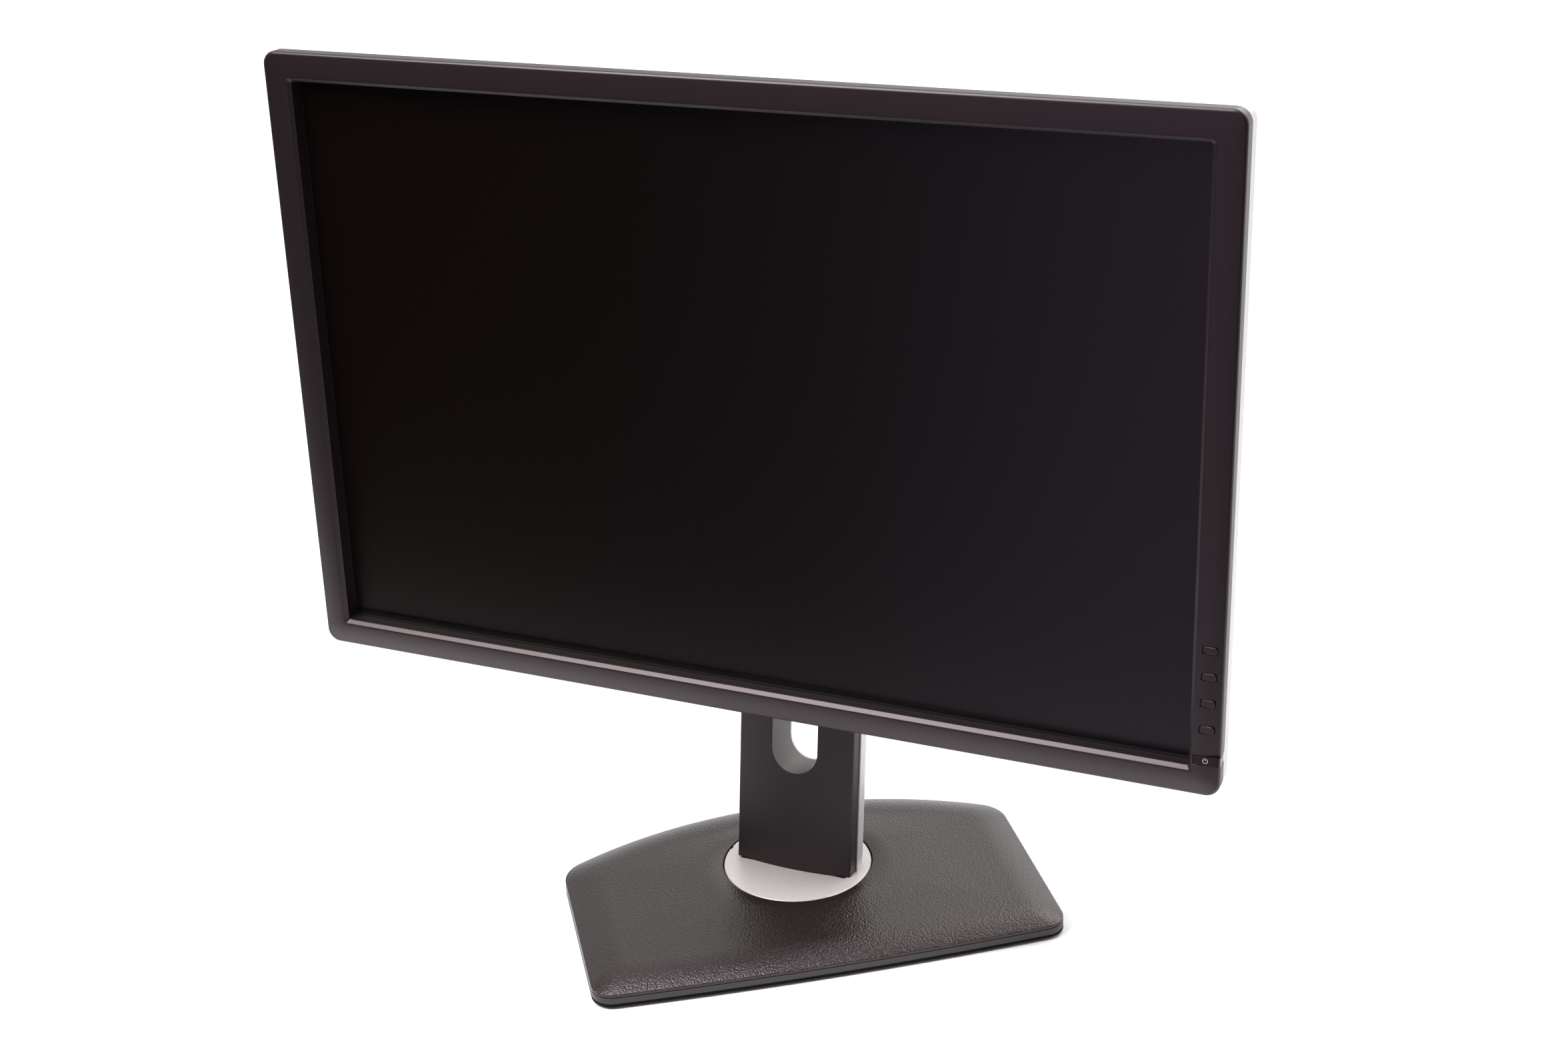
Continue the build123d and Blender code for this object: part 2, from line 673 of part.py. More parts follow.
with BuildPart() as front_bezel:
    with BuildSketch(head_at(bezel_depth)):
        RectangleRounded(head_width, head_height, corner_radius)
    extrude(amount=bezel_depth)
    front_face = front_bezel.faces().sort_by(Axis((0, 0, 0), head_at(0).z_dir))[-1]
    fillet(front_face.outer_wire().edges(), 1.6)
    with BuildSketch(head_at(panel_face)):
        RectangleRounded(lip_width + 2 * 1.8, lip_height + 2 * 1.8, 2.5)
    extrude(amount=panel_face - skin)
    with BuildSketch(head_at(panel_face)):
        RectangleRounded(head_width - 2 * skin, head_height - 2 * skin, corner_radius - skin)
        RectangleRounded(lip_width + 2 * 1.8, lip_height + 2 * 1.8, 2.5, mode=Mode.SUBTRACT)
    extrude(amount=panel_face - skin, mode=Mode.SUBTRACT)
    with BuildSketch(head_at(panel_face)):
        RectangleRounded(lip_width, lip_height, 1.5)
    extrude(amount=panel_face, mode=Mode.SUBTRACT)
    front_face = front_bezel.faces().sort_by(Axis((0, 0, 0), head_at(0).z_dir))[-1]
    chamfer(front_face.inner_wires()[0].edges(), lip_chamfer)
    with BuildSketch(head_at(skin + 1)):
        with Locations([(key_x, y) for y in osd_keys_y]):
            RectangleRounded(osd_hole[0], osd_hole[1], 1.6)
        with Locations(((power_left - free + head_width / 2 + 2) / 2, power_y)):
            Rectangle(head_width / 2 + 2 - power_left + free, power_height + 2 * free)
    extrude(amount=skin + 1, mode=Mode.SUBTRACT)
    with BuildSketch(head_at(power_side_depth + 0.9)):
        with Locations((head_width / 2, power_y)):
            Rectangle(2 * skin + 1, power_height + 2 * free)
    extrude(amount=power_side_depth + 0.9, mode=Mode.SUBTRACT)
front_bezel.part.label = "front_bezel"
export_step(front_bezel.part, "parts/front_bezel.step")

hump_width = 300.0
hump_low = -120.0
hump_high = 115.0
hump_taper = 25.0
hump_mid = (hump_low + hump_high) / 2
hump_radius = 12.0
hump_edge_radius = 5.0
hump_root_radius = 8.0
rim_step = 0.4  # the rear cover sits this far inside the bezel's edge
rim_slope = 48.0
shoulder_radius = 6.0


def back_faces(form):
    """The faces of the rear cover's form that are square to its back, nearest the screen first."""
    backwards = -head_at(0).z_dir
    level = form.faces().filter_by(lambda face: face.normal_at().dot(backwards) > 0.999)
    return level.sort_by(Axis((0, 0, 0), backwards))


def rear_form(inset):
    """The rear cover's outer form, or with an inset the hollow inside it."""
    rim_near = bezel_depth + 0.1
    rim_far = rim_depth - inset / 2
    plane_far = back_plane - inset
    rim_width = head_width - 2 * rim_step - 2 * inset
    rim_height = head_height - 2 * rim_step - 2 * inset
    slope_in = (plane_far - rim_far) * tan(radians(rim_slope))
    rim_radius = corner_radius - rim_step - inset / 2
    with BuildPart() as form:
        with BuildSketch(head_at(rim_near)):
            RectangleRounded(rim_width, rim_height, rim_radius)
        extrude(amount=-(rim_far - rim_near))
        with BuildSketch(head_at(rim_far)):
            RectangleRounded(rim_width, rim_height, rim_radius)
        with BuildSketch(head_at(plane_far)):
            RectangleRounded(rim_width - 2 * slope_in, rim_height - 2 * slope_in, rim_radius)
        loft()
        with BuildSketch(head_at(head_depth - inset)):
            with Locations((0, hump_mid)):
                RectangleRounded(
                    hump_width - 2 * inset, hump_high - hump_low - 2 * inset, hump_radius - inset
                )
        extrude(amount=head_depth - inset - plane_far + 1, taper=-hump_taper)
        fillet(back_faces(form)[-1].outer_wire().edges(), hump_edge_radius)
        fillet(back_faces(form)[0].inner_wires()[0].edges(), hump_root_radius)
        fillet(back_faces(form)[0].outer_wire().edges(), shoulder_radius)
        rim_plane = head_at(rim_far)
        fillet(
            form.edges().filter_by(lambda edge: abs(rim_plane.to_local_coords(edge.center()).Z) < 0.001),
            shoulder_radius,
        )
    return form.part


vent_pitch = 7.0
vent_count = 44
socket_places = {"inlet": -78.0, "dvi": -18.0, "vga": 32.0, "display": 62.0}
usb_places = (83.0, 98.0)
with BuildPart() as rear_cover:
    add(rear_form(0))
    add(rear_form(2.4), mode=Mode.SUBTRACT)
    with BuildSketch(head_at(mount_plane - 2.4)):
        with Locations((0, mount_up)):
            RectangleRounded(recess_size + 4.8, recess_size + 4.8, 10)
    extrude(amount=-(head_depth - 1.2 - mount_plane + 2.4))
    with BuildSketch(head_at(mount_plane)):
        with Locations((0, mount_up)):
            RectangleRounded(recess_size, recess_size, 8)
    extrude(amount=-12, mode=Mode.SUBTRACT)
    with BuildSketch(head_at(mount_plane - 4)):
        with Locations((0, mount_up)):
            Circle(16)
            with GridLocations(vesa_pitch, vesa_pitch, 2, 2):
                Circle(4.0)
    extrude(amount=-6, mode=Mode.SUBTRACT)
    with BuildSketch(head_at(back_plane - 4)):
        with Locations((0, 146), (0, -147)):
            with GridLocations(vent_pitch, 1, vent_count, 1):
                SlotOverall(13, 3, rotation=90)
    extrude(amount=-6, mode=Mode.SUBTRACT)
    with BuildSketch(head_at(36)):
        with Locations((4, bay_low - 12)):
            Rectangle(216, 30)
    extrude(amount=-20, mode=Mode.SUBTRACT)
    with BuildSketch(head_at(head_depth - 4)):
        with Locations((0, -62)):
            Rectangle(26.8, 12.8)
    extrude(amount=-6, mode=Mode.SUBTRACT)
    with BuildSketch(head_at(back_plane - 4)):
        with Locations([(x, y) for x in (-215, 215) for y in (-120, 0, 120)]):
            Circle(1.6)
    extrude(amount=-8, mode=Mode.SUBTRACT)
rear_cover.part.label = "rear_cover"
export_step(rear_cover.part, "parts/rear_cover.step")

with BuildPart() as case_screws:
    screw_places = [(x, y) for x in (-215, 215) for y in (-120, 0, 120)]
    with BuildSketch(head_at(22.2)):
        with Locations(screw_places):
            Circle(1.55)
    extrude(amount=-(back_plane - 22.2))
    with BuildSketch(head_at(back_plane)):
        with Locations(screw_places):
            Circle(3.2)
    extrude(amount=-1.6)
case_screws.part.label = "case_screws"
export_step(case_screws.part, "parts/case_screws.step")

# ---------------------------------------------------------------- panel module (body: head)
def panel_slab(width, height, near, far):
    """A flat sheet of the panel module between two depths."""
    with BuildPart() as sheet:
        with BuildSketch(head_at(far)):
            Rectangle(width, height)
        extrude(amount=far - near)
    return sheet.part


module_width = 532.0
module_height = 338.0
with BuildPart() as panel_frame:
    add(panel_slab(module_width, module_height, panel_face, 20.2))
    add(panel_slab(module_width - 1.4, module_height - 1.4, panel_face + 0.5, 21.0), mode=Mode.SUBTRACT)
    add(panel_slab(520.0, 325.6, panel_face - 1, 10.0), mode=Mode.SUBTRACT)
panel_frame.part.label = "panel_frame"
export_step(panel_frame.part, "parts/panel_frame.step")

with BuildPart() as lcd_cell:
    add(panel_slab(529.0, 335.0, 9.5, 11.2))
lcd_cell.part.label = "lcd_cell"
export_step(lcd_cell.part, "parts/lcd_cell.step")

with BuildPart() as diffuser_sheets:
    add(panel_slab(526.0, 331.0, 11.3, 12.5))
diffuser_sheets.part.label = "diffuser_sheets"
export_step(diffuser_sheets.part, "parts/diffuser_sheets.step")

with BuildPart() as light_guide:
    add(panel_slab(526.0, 316.0, 12.6, 18.6))
light_guide.part.label = "light_guide"
export_step(light_guide.part, "parts/light_guide.step")

with BuildPart() as backlight_lamps:
    with BuildSketch(head_side(-258)):
        with Locations([(y, -d) for y in (-161.8, 161.8) for d in (14.4, 17.0)]):
            Circle(1.2)
    extrude(amount=516)
backlight_lamps.part.label = "backlight_lamps"
export_step(backlight_lamps.part, "parts/backlight_lamps.step")

with BuildPart() as panel_back_tray:
    add(panel_slab(530.4, 336.4, 18.9, 20.2))
panel_back_tray.part.label = "panel_back_tray"
export_step(panel_back_tray.part, "parts/panel_back_tray.step")

# ---------------------------------------------------------------- chassis and boards (body: head)
with BuildPart() as chassis:
    with BuildSketch(head_at(22.2)):
        RectangleRounded(500, 300, 10)
        with Locations([(x, y) for x in (-175, 175) for y in (-100, 0, 100)]):
            RectangleRounded(70, 60, 6, mode=Mode.SUBTRACT)
    extrude(amount=1.6)
chassis.part.label = "chassis"
export_step(chassis.part, "parts/chassis.step")

shield_half = 122.0
shield_high = 88.0
shield_back = 43.4
shield_wall = 1.0
shield_mid = (bay_low + shield_high) / 2
with BuildPart() as board_shield:
    with BuildSketch(head_at(22.2)):
        with Locations((0, shield_mid)):
            Rectangle(2 * shield_half, shield_high - bay_low)
    extrude(amount=-(shield_back - 22.2))
    with BuildSketch(head_at(22.2)):
        with Locations((0, shield_mid)):
            Rectangle(2 * (shield_half - shield_wall), shield_high - bay_low - 2 * shield_wall)
    extrude(amount=-(shield_back - shield_wall - 22.2), mode=Mode.SUBTRACT)
    with BuildSketch(head_at(30)):
        with Locations((4, bay_low)):
            Rectangle(206, 8)
    extrude(amount=-11, mode=Mode.SUBTRACT)
    with BuildSketch(head_at(30)):
        with Locations((socket_places["inlet"], bay_low)):
            Rectangle(34, 30)
    extrude(amount=-20, mode=Mode.SUBTRACT)
board_shield.part.label = "board_shield"
export_step(board_shield.part, "parts/board_shield.step")

with BuildPart() as vesa_nuts:
    with BuildSketch(head_at(mount_plane)):
        with Locations((0, mount_up)):
            with GridLocations(vesa_pitch, vesa_pitch, 2, 2):
                Circle(4.0)
                Circle(2.0, mode=Mode.SUBTRACT)
    extrude(amount=mount_plane - shield_back)
vesa_nuts.part.label = "vesa_nuts"
export_step(vesa_nuts.part, "parts/vesa_nuts.step")

with BuildPart() as power_board:
    with BuildSketch(head_at(28.0)):
        with Locations((-63, -25)):
            Rectangle(104, 160)
    extrude(amount=-1.6)
    with BuildSketch(head_at(22.2)):
        with Locations([(-63 + x, -25 + y) for x in (-46, 46) for y in (-74, 74)]):
            Circle(2.5)
    extrude(amount=-5.8)
power_board.part.label = "power_board"
export_step(power_board.part, "parts/power_board.step")

with BuildPart() as power_board_parts:
    with BuildSketch(head_at(29.6)):
        with Locations((-85, -35)):
            Rectangle(32, 26)
        with Locations((-45, 0)):
            Rectangle(22, 18)
        with Locations((-30, -50)):
            Rectangle(8, 40)
        with Locations((-85, 15), (-85, 36), (-60, -70)):
            Circle(9)
        with Locations((-40, 30), (-28, 30)):
            Circle(4)
    extrude(amount=-11.5)
power_board_parts.part.label = "power_board_parts"
export_step(power_board_parts.part, "parts/power_board_parts.step")

with BuildPart() as main_board:
    with BuildSketch(head_at(28.0)):
        with Locations((58, -40)):
            Rectangle(112, 128)
    extrude(amount=-1.6)
    with BuildSketch(head_at(22.2)):
        with Locations([(58 + x, -40 + y) for x in (-50, 50) for y in (-58, 58)]):
            Circle(2.5)
    extrude(amount=-5.8)
main_board.part.label = "main_board"
export_step(main_board.part, "parts/main_board.step")

with BuildPart() as main_board_chips:
    with BuildSketch(head_at(29.6)):
        with Locations((55, -40)):
            Rectangle(24, 24)
        with Locations((85, -20)):
            Rectangle(14, 10)
        with Locations((85, -45), (30, -10)):
            Rectangle(10, 10)
    extrude(amount=-2.0)
main_board_chips.part.label = "main_board_chips"
export_step(main_board_chips.part, "parts/main_board_chips.step")

# the mains inlet: a housing with a six-sided mouth that opens downwards
inlet_x = socket_places["inlet"]
inlet_depth = 41.5
inlet_mouth = bay_low - 6.0


def socket_plane(level):
    """Level plane across the head, facing down; local x is +X and local y is minus the depth."""
    base = head_at(0)
    return Plane(origin=base.origin + base.y_dir * level, x_dir=base.x_dir, z_dir=-base.y_dir)


with BuildPart() as ac_inlet:
    with BuildSketch(socket_plane(inlet_mouth + 18)):
        with Locations((inlet_x, -inlet_depth)):
            Rectangle(30, 21)
    extrude(amount=18)
    with BuildSketch(socket_plane(inlet_mouth + 16)) as mouth:
        with Locations((inlet_x, -inlet_depth)):
            Rectangle(24, 16.4)
        chamfer(mouth.vertices().group_by(Axis.Y)[0], 4)
    extrude(amount=16, mode=Mode.SUBTRACT)
ac_inlet.part.label = "ac_inlet"
export_step(ac_inlet.part, "parts/ac_inlet.step")

pin_places = [(inlet_x + x, y - inlet_depth) for x, y in ((-7, 2), (7, 2), (0, -2))]
with BuildPart() as inlet_pins:
    with BuildSketch(socket_plane(inlet_mouth + 16)):
        with Locations(pin_places):
            Rectangle(2, 4)
    extrude(amount=11)
inlet_pins.part.label = "inlet_pins"
export_step(inlet_pins.part, "parts/inlet_pins.step")

socket_depth = 36.0
with BuildPart() as signal_sockets:
    for place, width, deep in (("dvi", 38, 9), ("vga", 31, 9), ("display", 17, 6)):
        with BuildSketch(socket_plane(bay_low + 12)):
            with Locations((socket_places[place], -socket_depth)):
                RectangleRounded(width, deep, 1.5)
        extrude(amount=17)
    for usb_x in usb_places:
        with BuildSketch(socket_plane(bay_low + 12)):
            with Locations((usb_x, -socket_depth)):
                Rectangle(11, 6.5)
        extrude(amount=16)
signal_sockets.part.label = "signal_sockets"
export_step(signal_sockets.part, "parts/signal_sockets.step")

with BuildPart() as key_board:
    with BuildSketch(head_at(12.2)):
        with Locations((271.0, -128)):
            Rectangle(7.6, 84)
    extrude(amount=1.2)
    with BuildSketch(head_at(11.0)):
        with Locations([(key_x + 0.4, y) for y in [*osd_keys_y, power_y]]):
            Rectangle(5, 3.4)
    extrude(amount=1.5)
key_board.part.label = "key_board"
export_step(key_board.part, "parts/key_board.step")

# ---------------------------------------------------------------- stand plate and release (head)
with BuildPart() as pivot_plate:
    with BuildSketch(head_at(plate_far)):
        with Locations((0, mount_up)):
            RectangleRounded(84, 84, 8)
            Circle(pivot_radius + fit, mode=Mode.SUBTRACT)
    extrude(amount=plate_far - plate_near)
pivot_plate.part.label = "pivot_plate"
export_step(pivot_plate.part, "parts/pivot_plate.step")

with BuildPart() as release_button:
    with BuildSketch(head_at(head_depth + 1.2)):
        with Locations((0, -62)):
            RectangleRounded(26, 12, 2)
    extrude(amount=9)
    with BuildSketch(head_at(head_depth - 7.8)):
        with Locations((0, -62)):
            Rectangle(30, 15)
    extrude(amount=1.5)
release_button.part.label = "release_button"
export_step(release_button.part, "parts/release_button.step")

# ---------------------------------------------------------------- keys, each its own body
for number, height in enumerate(osd_keys_y, start=1):
    with BuildPart() as osd_key:
        with BuildSketch(head_at(8.4)):
            with Locations((key_x, height)):
                RectangleRounded(osd_size[0], osd_size[1], 1.4)
        extrude(amount=8.2)
        key_front = osd_key.faces().sort_by(Axis((0, 0, 0), head_at(0).z_dir))[-1]
        fillet(key_front.edges(), 0.4)
    osd_key.part.label = f"osd_key_{number}"
    export_step(osd_key.part, f"parts/osd_key_{number}.step")


def power_sign(depth):
    """The usual sign for power: a broken ring with an upright bar in its gap."""
    with BuildSketch(head_at(depth)) as sign:
        with Locations((key_x, power_y)):
            Circle(1.5)
            Circle(1.1, mode=Mode.SUBTRACT)
        with Locations((key_x, power_y + 1.2)):
            Rectangle(1.3, 1.2, mode=Mode.SUBTRACT)
        with Locations((key_x, power_y + 0.95)):
            Rectangle(0.4, 1.5)
    return sign.sketch


with BuildPart() as power_key:
    with BuildSketch(head_at(2.4)):
        with Locations(((power_left + head_width / 2) / 2, power_y)):
            Rectangle(head_width / 2 - power_left, power_height)
    extrude(amount=2.3)
    with BuildSketch(head_at(power_side_depth)):
        with Locations((head_width / 2 - 1.2, power_y)):
            Rectangle(2.4, power_height)
    extrude(amount=power_side_depth - 0.1)
    with BuildSketch(head_at(8.4)):
        with Locations((key_x, power_y)):
            Rectangle(4, 3)
    extrude(amount=6.4)
    upright_edges = power_key.edges().filter_by(Axis((0, 0, 0), head_at(0).y_dir))
    key_corner = upright_edges.sort_by(Axis((0, 0, 0), (1, -1, 0)))[-1]
    fillet(key_corner, 1.4)
    extrude(power_sign(0.5), amount=0.6, mode=Mode.SUBTRACT)
power_key.part.label = "power_key"
export_step(power_key.part, "parts/power_key.step")

with BuildPart() as power_key_sign:
    extrude(power_sign(0.5), amount=0.4)
power_key_sign.part.label = "power_key_sign"
export_step(power_key_sign.part, "parts/power_key_sign.step")

print("hinge axis at y", round(hinge_y, 3), "z", round(hinge_z, 3))
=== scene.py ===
import json
import math

import bmesh
import bpy
from mathutils import Matrix, Vector


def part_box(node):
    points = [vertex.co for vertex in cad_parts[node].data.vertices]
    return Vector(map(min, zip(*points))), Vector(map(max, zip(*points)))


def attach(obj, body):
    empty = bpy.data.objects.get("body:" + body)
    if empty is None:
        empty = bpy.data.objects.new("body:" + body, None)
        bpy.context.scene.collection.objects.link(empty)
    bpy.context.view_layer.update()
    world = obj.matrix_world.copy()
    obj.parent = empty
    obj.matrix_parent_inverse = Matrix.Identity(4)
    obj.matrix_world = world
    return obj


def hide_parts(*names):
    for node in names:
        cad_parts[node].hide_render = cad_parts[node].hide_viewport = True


bl_info = {
    "name": "Desktop Monitor Kit",
    "version": (1, 0, 0),
    "blender": (4, 5, 0),
    "location": "View3D > Sidebar > Monitor",
    "description": "Dresses the packed desktop monitor: shells, screws, finishes and a small studio",
    "category": "Object",
}

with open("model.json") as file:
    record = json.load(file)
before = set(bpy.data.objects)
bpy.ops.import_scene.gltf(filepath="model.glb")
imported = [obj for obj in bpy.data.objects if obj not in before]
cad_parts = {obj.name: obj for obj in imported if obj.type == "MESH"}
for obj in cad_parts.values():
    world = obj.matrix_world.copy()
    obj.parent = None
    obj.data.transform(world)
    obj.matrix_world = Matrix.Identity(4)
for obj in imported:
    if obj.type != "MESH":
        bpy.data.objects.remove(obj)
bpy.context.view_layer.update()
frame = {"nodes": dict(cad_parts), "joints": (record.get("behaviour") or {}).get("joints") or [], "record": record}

MM = 0.001
JOINTS = {joint["name"]: joint for joint in frame["joints"]}
HEAD_BACK = Vector(JOINTS["pivot"]["axis"])
COLUMN_RISE = Vector(JOINTS["height"]["axis"])
SHARP_ANGLE = math.radians(32)

# The bezel: widths of its bars, rounds outside and at the screen, and the openings for the keys.
SIDE_BAR, TOP_BAR = 16.8 * MM, 16.4 * MM
OUTER_RADIUS, LIP_RADIUS = 8.0 * MM, 1.5 * MM
KEY_RADIUS, KEY_DEPTH, SIDE_NOTCH = 1.5 * MM, 4.5 * MM, 3.2 * MM

# The foot: gap round the disc, how far the flat lies under the top, the black strip of painted shadow round the
# tray's bottom, and its segments.
OPENING_GAP, FLAT_DROP = 0.8 * MM, 0.35 * MM
SHADOW_STRIP_PROUD, SHADOW_STRIP_DEPTH = 0.06 * MM, 0.6 * MM
FOOT_STEPS = 8

# The screws: share of the head that is domed, and the exponent of the dome's section.
DOME_SHARE, DOME_POWER = 0.55, 0.6

# The studio: floor edges in metres, the world's light, and the softboxes.
FLOOR_HALF, FLOOR_FRONT, FLOOR_BACK = 1.2, -0.33, 1.1
FRONT_STOPS = ((0.31, "#1c120f"), (0.385, "#d2c0e0"), (0.43, "#d2c0e0"), (0.49, "#5d545a"))
BACK_LEVELS = (0.9, 1.52)
SEEN_LEVEL = 1.2
MONITOR_MIDDLE = (0.0, -0.05, 0.25)
SOFTBOXES = (
    ("key_softbox", (-0.75, -0.92, 1.75), MONITOR_MIDDLE, (1.0, 1.0), 46.0, "#fff8f5"),
    ("top_softbox", (-0.2, -0.35, 1.9), (-0.2, -0.3, 0.0), (0.9, 0.7), 21.0, "#eef1ff"),
    ("back_softbox", (0.6, 1.4, 1.6), MONITOR_MIDDLE, (1.4, 1.0), 15.0, "#ffffff"),
)


# -------- places taken from the frame
def upright_place(forward):
    """A frame whose local x is world X, local z is forward and local y is the upward one."""
    forward = forward.normalized()
    across = Vector((1, 0, 0))
    upward = forward.cross(across)
    return Matrix((across, upward, forward)).transposed().to_4x4()


def local_box(node_name, place):
    """Lowest and highest corner of a CAD node, measured along the axes of a place."""
    back = place.inverted()
    points = [back @ vertex.co for vertex in frame["nodes"][node_name].data.vertices]
    low = Vector([min(point[axis] for point in points) for axis in range(3)])
    high = Vector([max(point[axis] for point in points) for axis in range(3)])
    return low, high


def head_place():
    """The head's frame: origin at the middle of the bezel's front, z towards the viewer."""
    place = upright_place(-HEAD_BACK)
    low, high = local_box("front_bezel", place)
    origin = place @ Vector(((low.x + high.x) / 2, (low.y + high.y) / 2, high.z))
    return Matrix.Translation(origin) @ place


def foot_place(turn):
    """The foot's frame: on the swivel axis at desk height, turned under the column."""
    return Matrix.Rotation(turn, 4, "Z")


def column_place():
    """The column's frame: y runs up the rake, z forward, origin at the foot of the swivel axis."""
    return upright_place(Vector((1, 0, 0)).cross(COLUMN_RISE))


HEAD = head_place()
COLUMN = column_place()


# -------- shader helpers
def linear_colour(code):
    """A hex sRGB colour as linear RGBA."""
    channels = [int(code[start:start + 2], 16) / 255 for start in (1, 3, 5)]
    return tuple(
        value / 12.92 if value <= 0.04045 else ((value + 0.055) / 1.055) ** 2.4 for value in channels
    ) + (1.0,)


def hex_colour(name, code):
    """A colour property whose default is a hex sRGB colour."""
    return bpy.props.FloatVectorProperty(
        name=name,
        description=f"{name} of the finish, linear",
        subtype="COLOR",
        size=4,
        min=0.0,
        max=1.0,
        default=linear_colour(code),
    )


def add_node(tree, kind, inputs=None, **settings):
    """Adds a shader node, sets it up and links or fills its inputs."""
    new = tree.nodes.new(kind)
    for key, value in settings.items():
        setattr(new, key, value)
    for key, value in (inputs or {}).items():
        if isinstance(value, bpy.types.NodeSocket):
            tree.links.new(value, new.inputs[key])
        else:
            new.inputs[key].default_value = value
    return new


def new_material(name, **values):
    """A material with one Principled shader, its uniform values set on the sockets."""
    material = bpy.data.materials.new(name)
    material.use_nodes = True
    tree = material.node_tree
    shader = tree.nodes["Principled BSDF"]
    for key, value in values.items():
        shader.inputs[key.replace("_", " ")].default_value = value
    place = add_node(tree, "ShaderNodeTexCoord").outputs["Object"]
    return material, tree, shader, place


def link(tree, output, shader, socket):
    """Links a node's output to a socket of the shader."""
    tree.links.new(output, shader.inputs[socket])


def colour_between(tree, factor, first, second):
    """A ramp from one colour to another along a factor."""
    ramp = add_node(tree, "ShaderNodeValToRGB", {"Fac": factor})
    ramp.color_ramp.elements[0].color = first
    ramp.color_ramp.elements[1].color = second
    return ramp.outputs["Color"]


def darker(colour, share):
    """The same colour at a share of its strength."""
    return tuple(value * share for value in colour[:3]) + (1.0,)


def noise(tree, place, size, detail=2.0, **more):
    """Noise whose features are of a given size."""
    inputs = {"Vector": place, "Scale": 1 / size, "Detail": detail, **more}
    return add_node(tree, "ShaderNodeTexNoise", inputs).outputs["Fac"]


def streaks(tree, place, squeeze, scale, detail=2.0):
    """Noise drawn out into lines, squeezed by a number along each axis."""
    drawn = add_node(tree, "ShaderNodeMapping", {"Vector": place, "Scale": squeeze})
    return noise(tree, drawn.outputs["Vector"], 1 / scale, detail)


def cells(tree, place, size):
    """Outputs of a pattern of cells of a given size."""
    return add_node(tree, "ShaderNodeTexVoronoi", {"Vector": place, "Scale": 1 / size}).outputs


def paint(tree, shader, factor, first, second):
    """Colours the surface from one colour to another along a factor."""
    link(tree, colour_between(tree, factor, first, second), shader, "Base Color")


def emboss(tree, shader, height, strength, distance, invert=False):
    """Gives the surface the relief of a pattern."""
    inputs = {"Height": height, "Strength": strength, "Distance": distance}
    relief = add_node(tree, "ShaderNodeBump", inputs, invert=invert)
    link(tree, relief.outputs["Normal"], shader, "Normal")


def mottled(name, colour, size, detail, shares, relief=None, **values):
    """A finish whose colour, and relief where it has any, follow one noise.

    The shares are of the colour at its darkest and brightest; the relief is a strength and a depth.
    """
    material, tree, shader, place = new_material(name, **values)
    pattern = noise(tree, place, size, detail)
    paint(tree, shader, pattern, darker(colour, shares[0]), darker(colour, shares[1]))
    if relief:
        emboss(tree, shader, pattern, *relief)
    return material


# -------- finishes
def spark_textured_abs(name, colour, roughness, grain=0.55 * MM, height=0.06 * MM):
    """Injection-moulded ABS from a spark-eroded tool: a fine even stipple that softens highlights.

    The real stipple is about 0.1 mm; it is drawn coarser, so that it shows.
    """
    material, tree, shader, place = new_material(
        name, IOR=1.54, Roughness=roughness, Specular_Tint=linear_colour("#fff3f3")
    )
    stipple = noise(tree, place, grain, Roughness=0.6)
    clouds = noise(tree, place, 60 * MM)
    tint = colour_between(tree, clouds, darker(colour, 0.92), darker(colour, 1.08))
    inputs = {"Factor": stipple, "A": tint, "B": darker(colour, 1.25)}
    speckle = add_node(tree, "ShaderNodeMix", inputs, data_type="RGBA")
    link(tree, speckle.outputs["Result"], shader, "Base Color")
    emboss(tree, shader, stipple, 0.5, height)
    return material


def leather_grained_abs(name, colour, roughness):
    """ABS moulded in an etched tool: a leather grain of small round pebbles between fine creases."""
    pebble, warp_size, warp_reach = 1.1 * MM, 3 * MM, 1.2 * MM
    material, tree, shader, place = new_material(
        name, IOR=1.54, Roughness=roughness, Specular_Tint=linear_colour("#ffeeee")
    )
    warp = add_node(
        tree, "ShaderNodeTexNoise", {"Vector": place, "Scale": 1 / warp_size, "Detail": 1.0}
    )
    inputs = {"Factor": warp_reach, "A": place, "B": warp.outputs["Color"]}
    moved = add_node(tree, "ShaderNodeMix", inputs, data_type="VECTOR")
    creases = add_node(
        tree,
        "ShaderNodeTexVoronoi",
        {"Vector": moved.outputs["Result"], "Scale": 1 / pebble, "Randomness": 1.0},
        feature="SMOOTH_F1",
    )
    clouds = noise(tree, place, 40 * MM, 3.0)
    paint(tree, shader, clouds, darker(colour, 0.93), darker(colour, 1.07))
    emboss(tree, shader, creases.outputs["Distance"], 0.9, 0.3 * MM, invert=True)
    return material


def silver_painted_abs(name, colour, roughness):
    """ABS sprayed with satin silver paint: tiny bright flakes in a pale warm coat."""
    material, tree, shader, place = new_material(
        name, IOR=1.5, Metallic=0.2, Roughness=roughness, Coat_Weight=0.12, Coat_Roughness=0.3
    )
    flakes = cells(tree, place, 0.6 * MM)
    paint(tree, shader, flakes["Color"], darker(colour, 0.9), darker(colour, 1.05))
    emboss(tree, shader, flakes["Distance"], 0.15, 0.02 * MM)
    return material


def satin_abs(name, colour, roughness):
    """Moulded ABS with a satin tool finish: soft broad highlights and a faint flow pattern."""
    material, tree, shader, place = new_material(name, IOR=1.54, Roughness=roughness)
    flow = noise(tree, place, 25 * MM, 4.0)
    paint(tree, shader, flow, darker(colour, 0.9), darker(colour, 1.1))
    emboss(tree, shader, noise(tree, place, 0.7 * MM, 1.0), 0.2, 0.02 * MM)
    return material


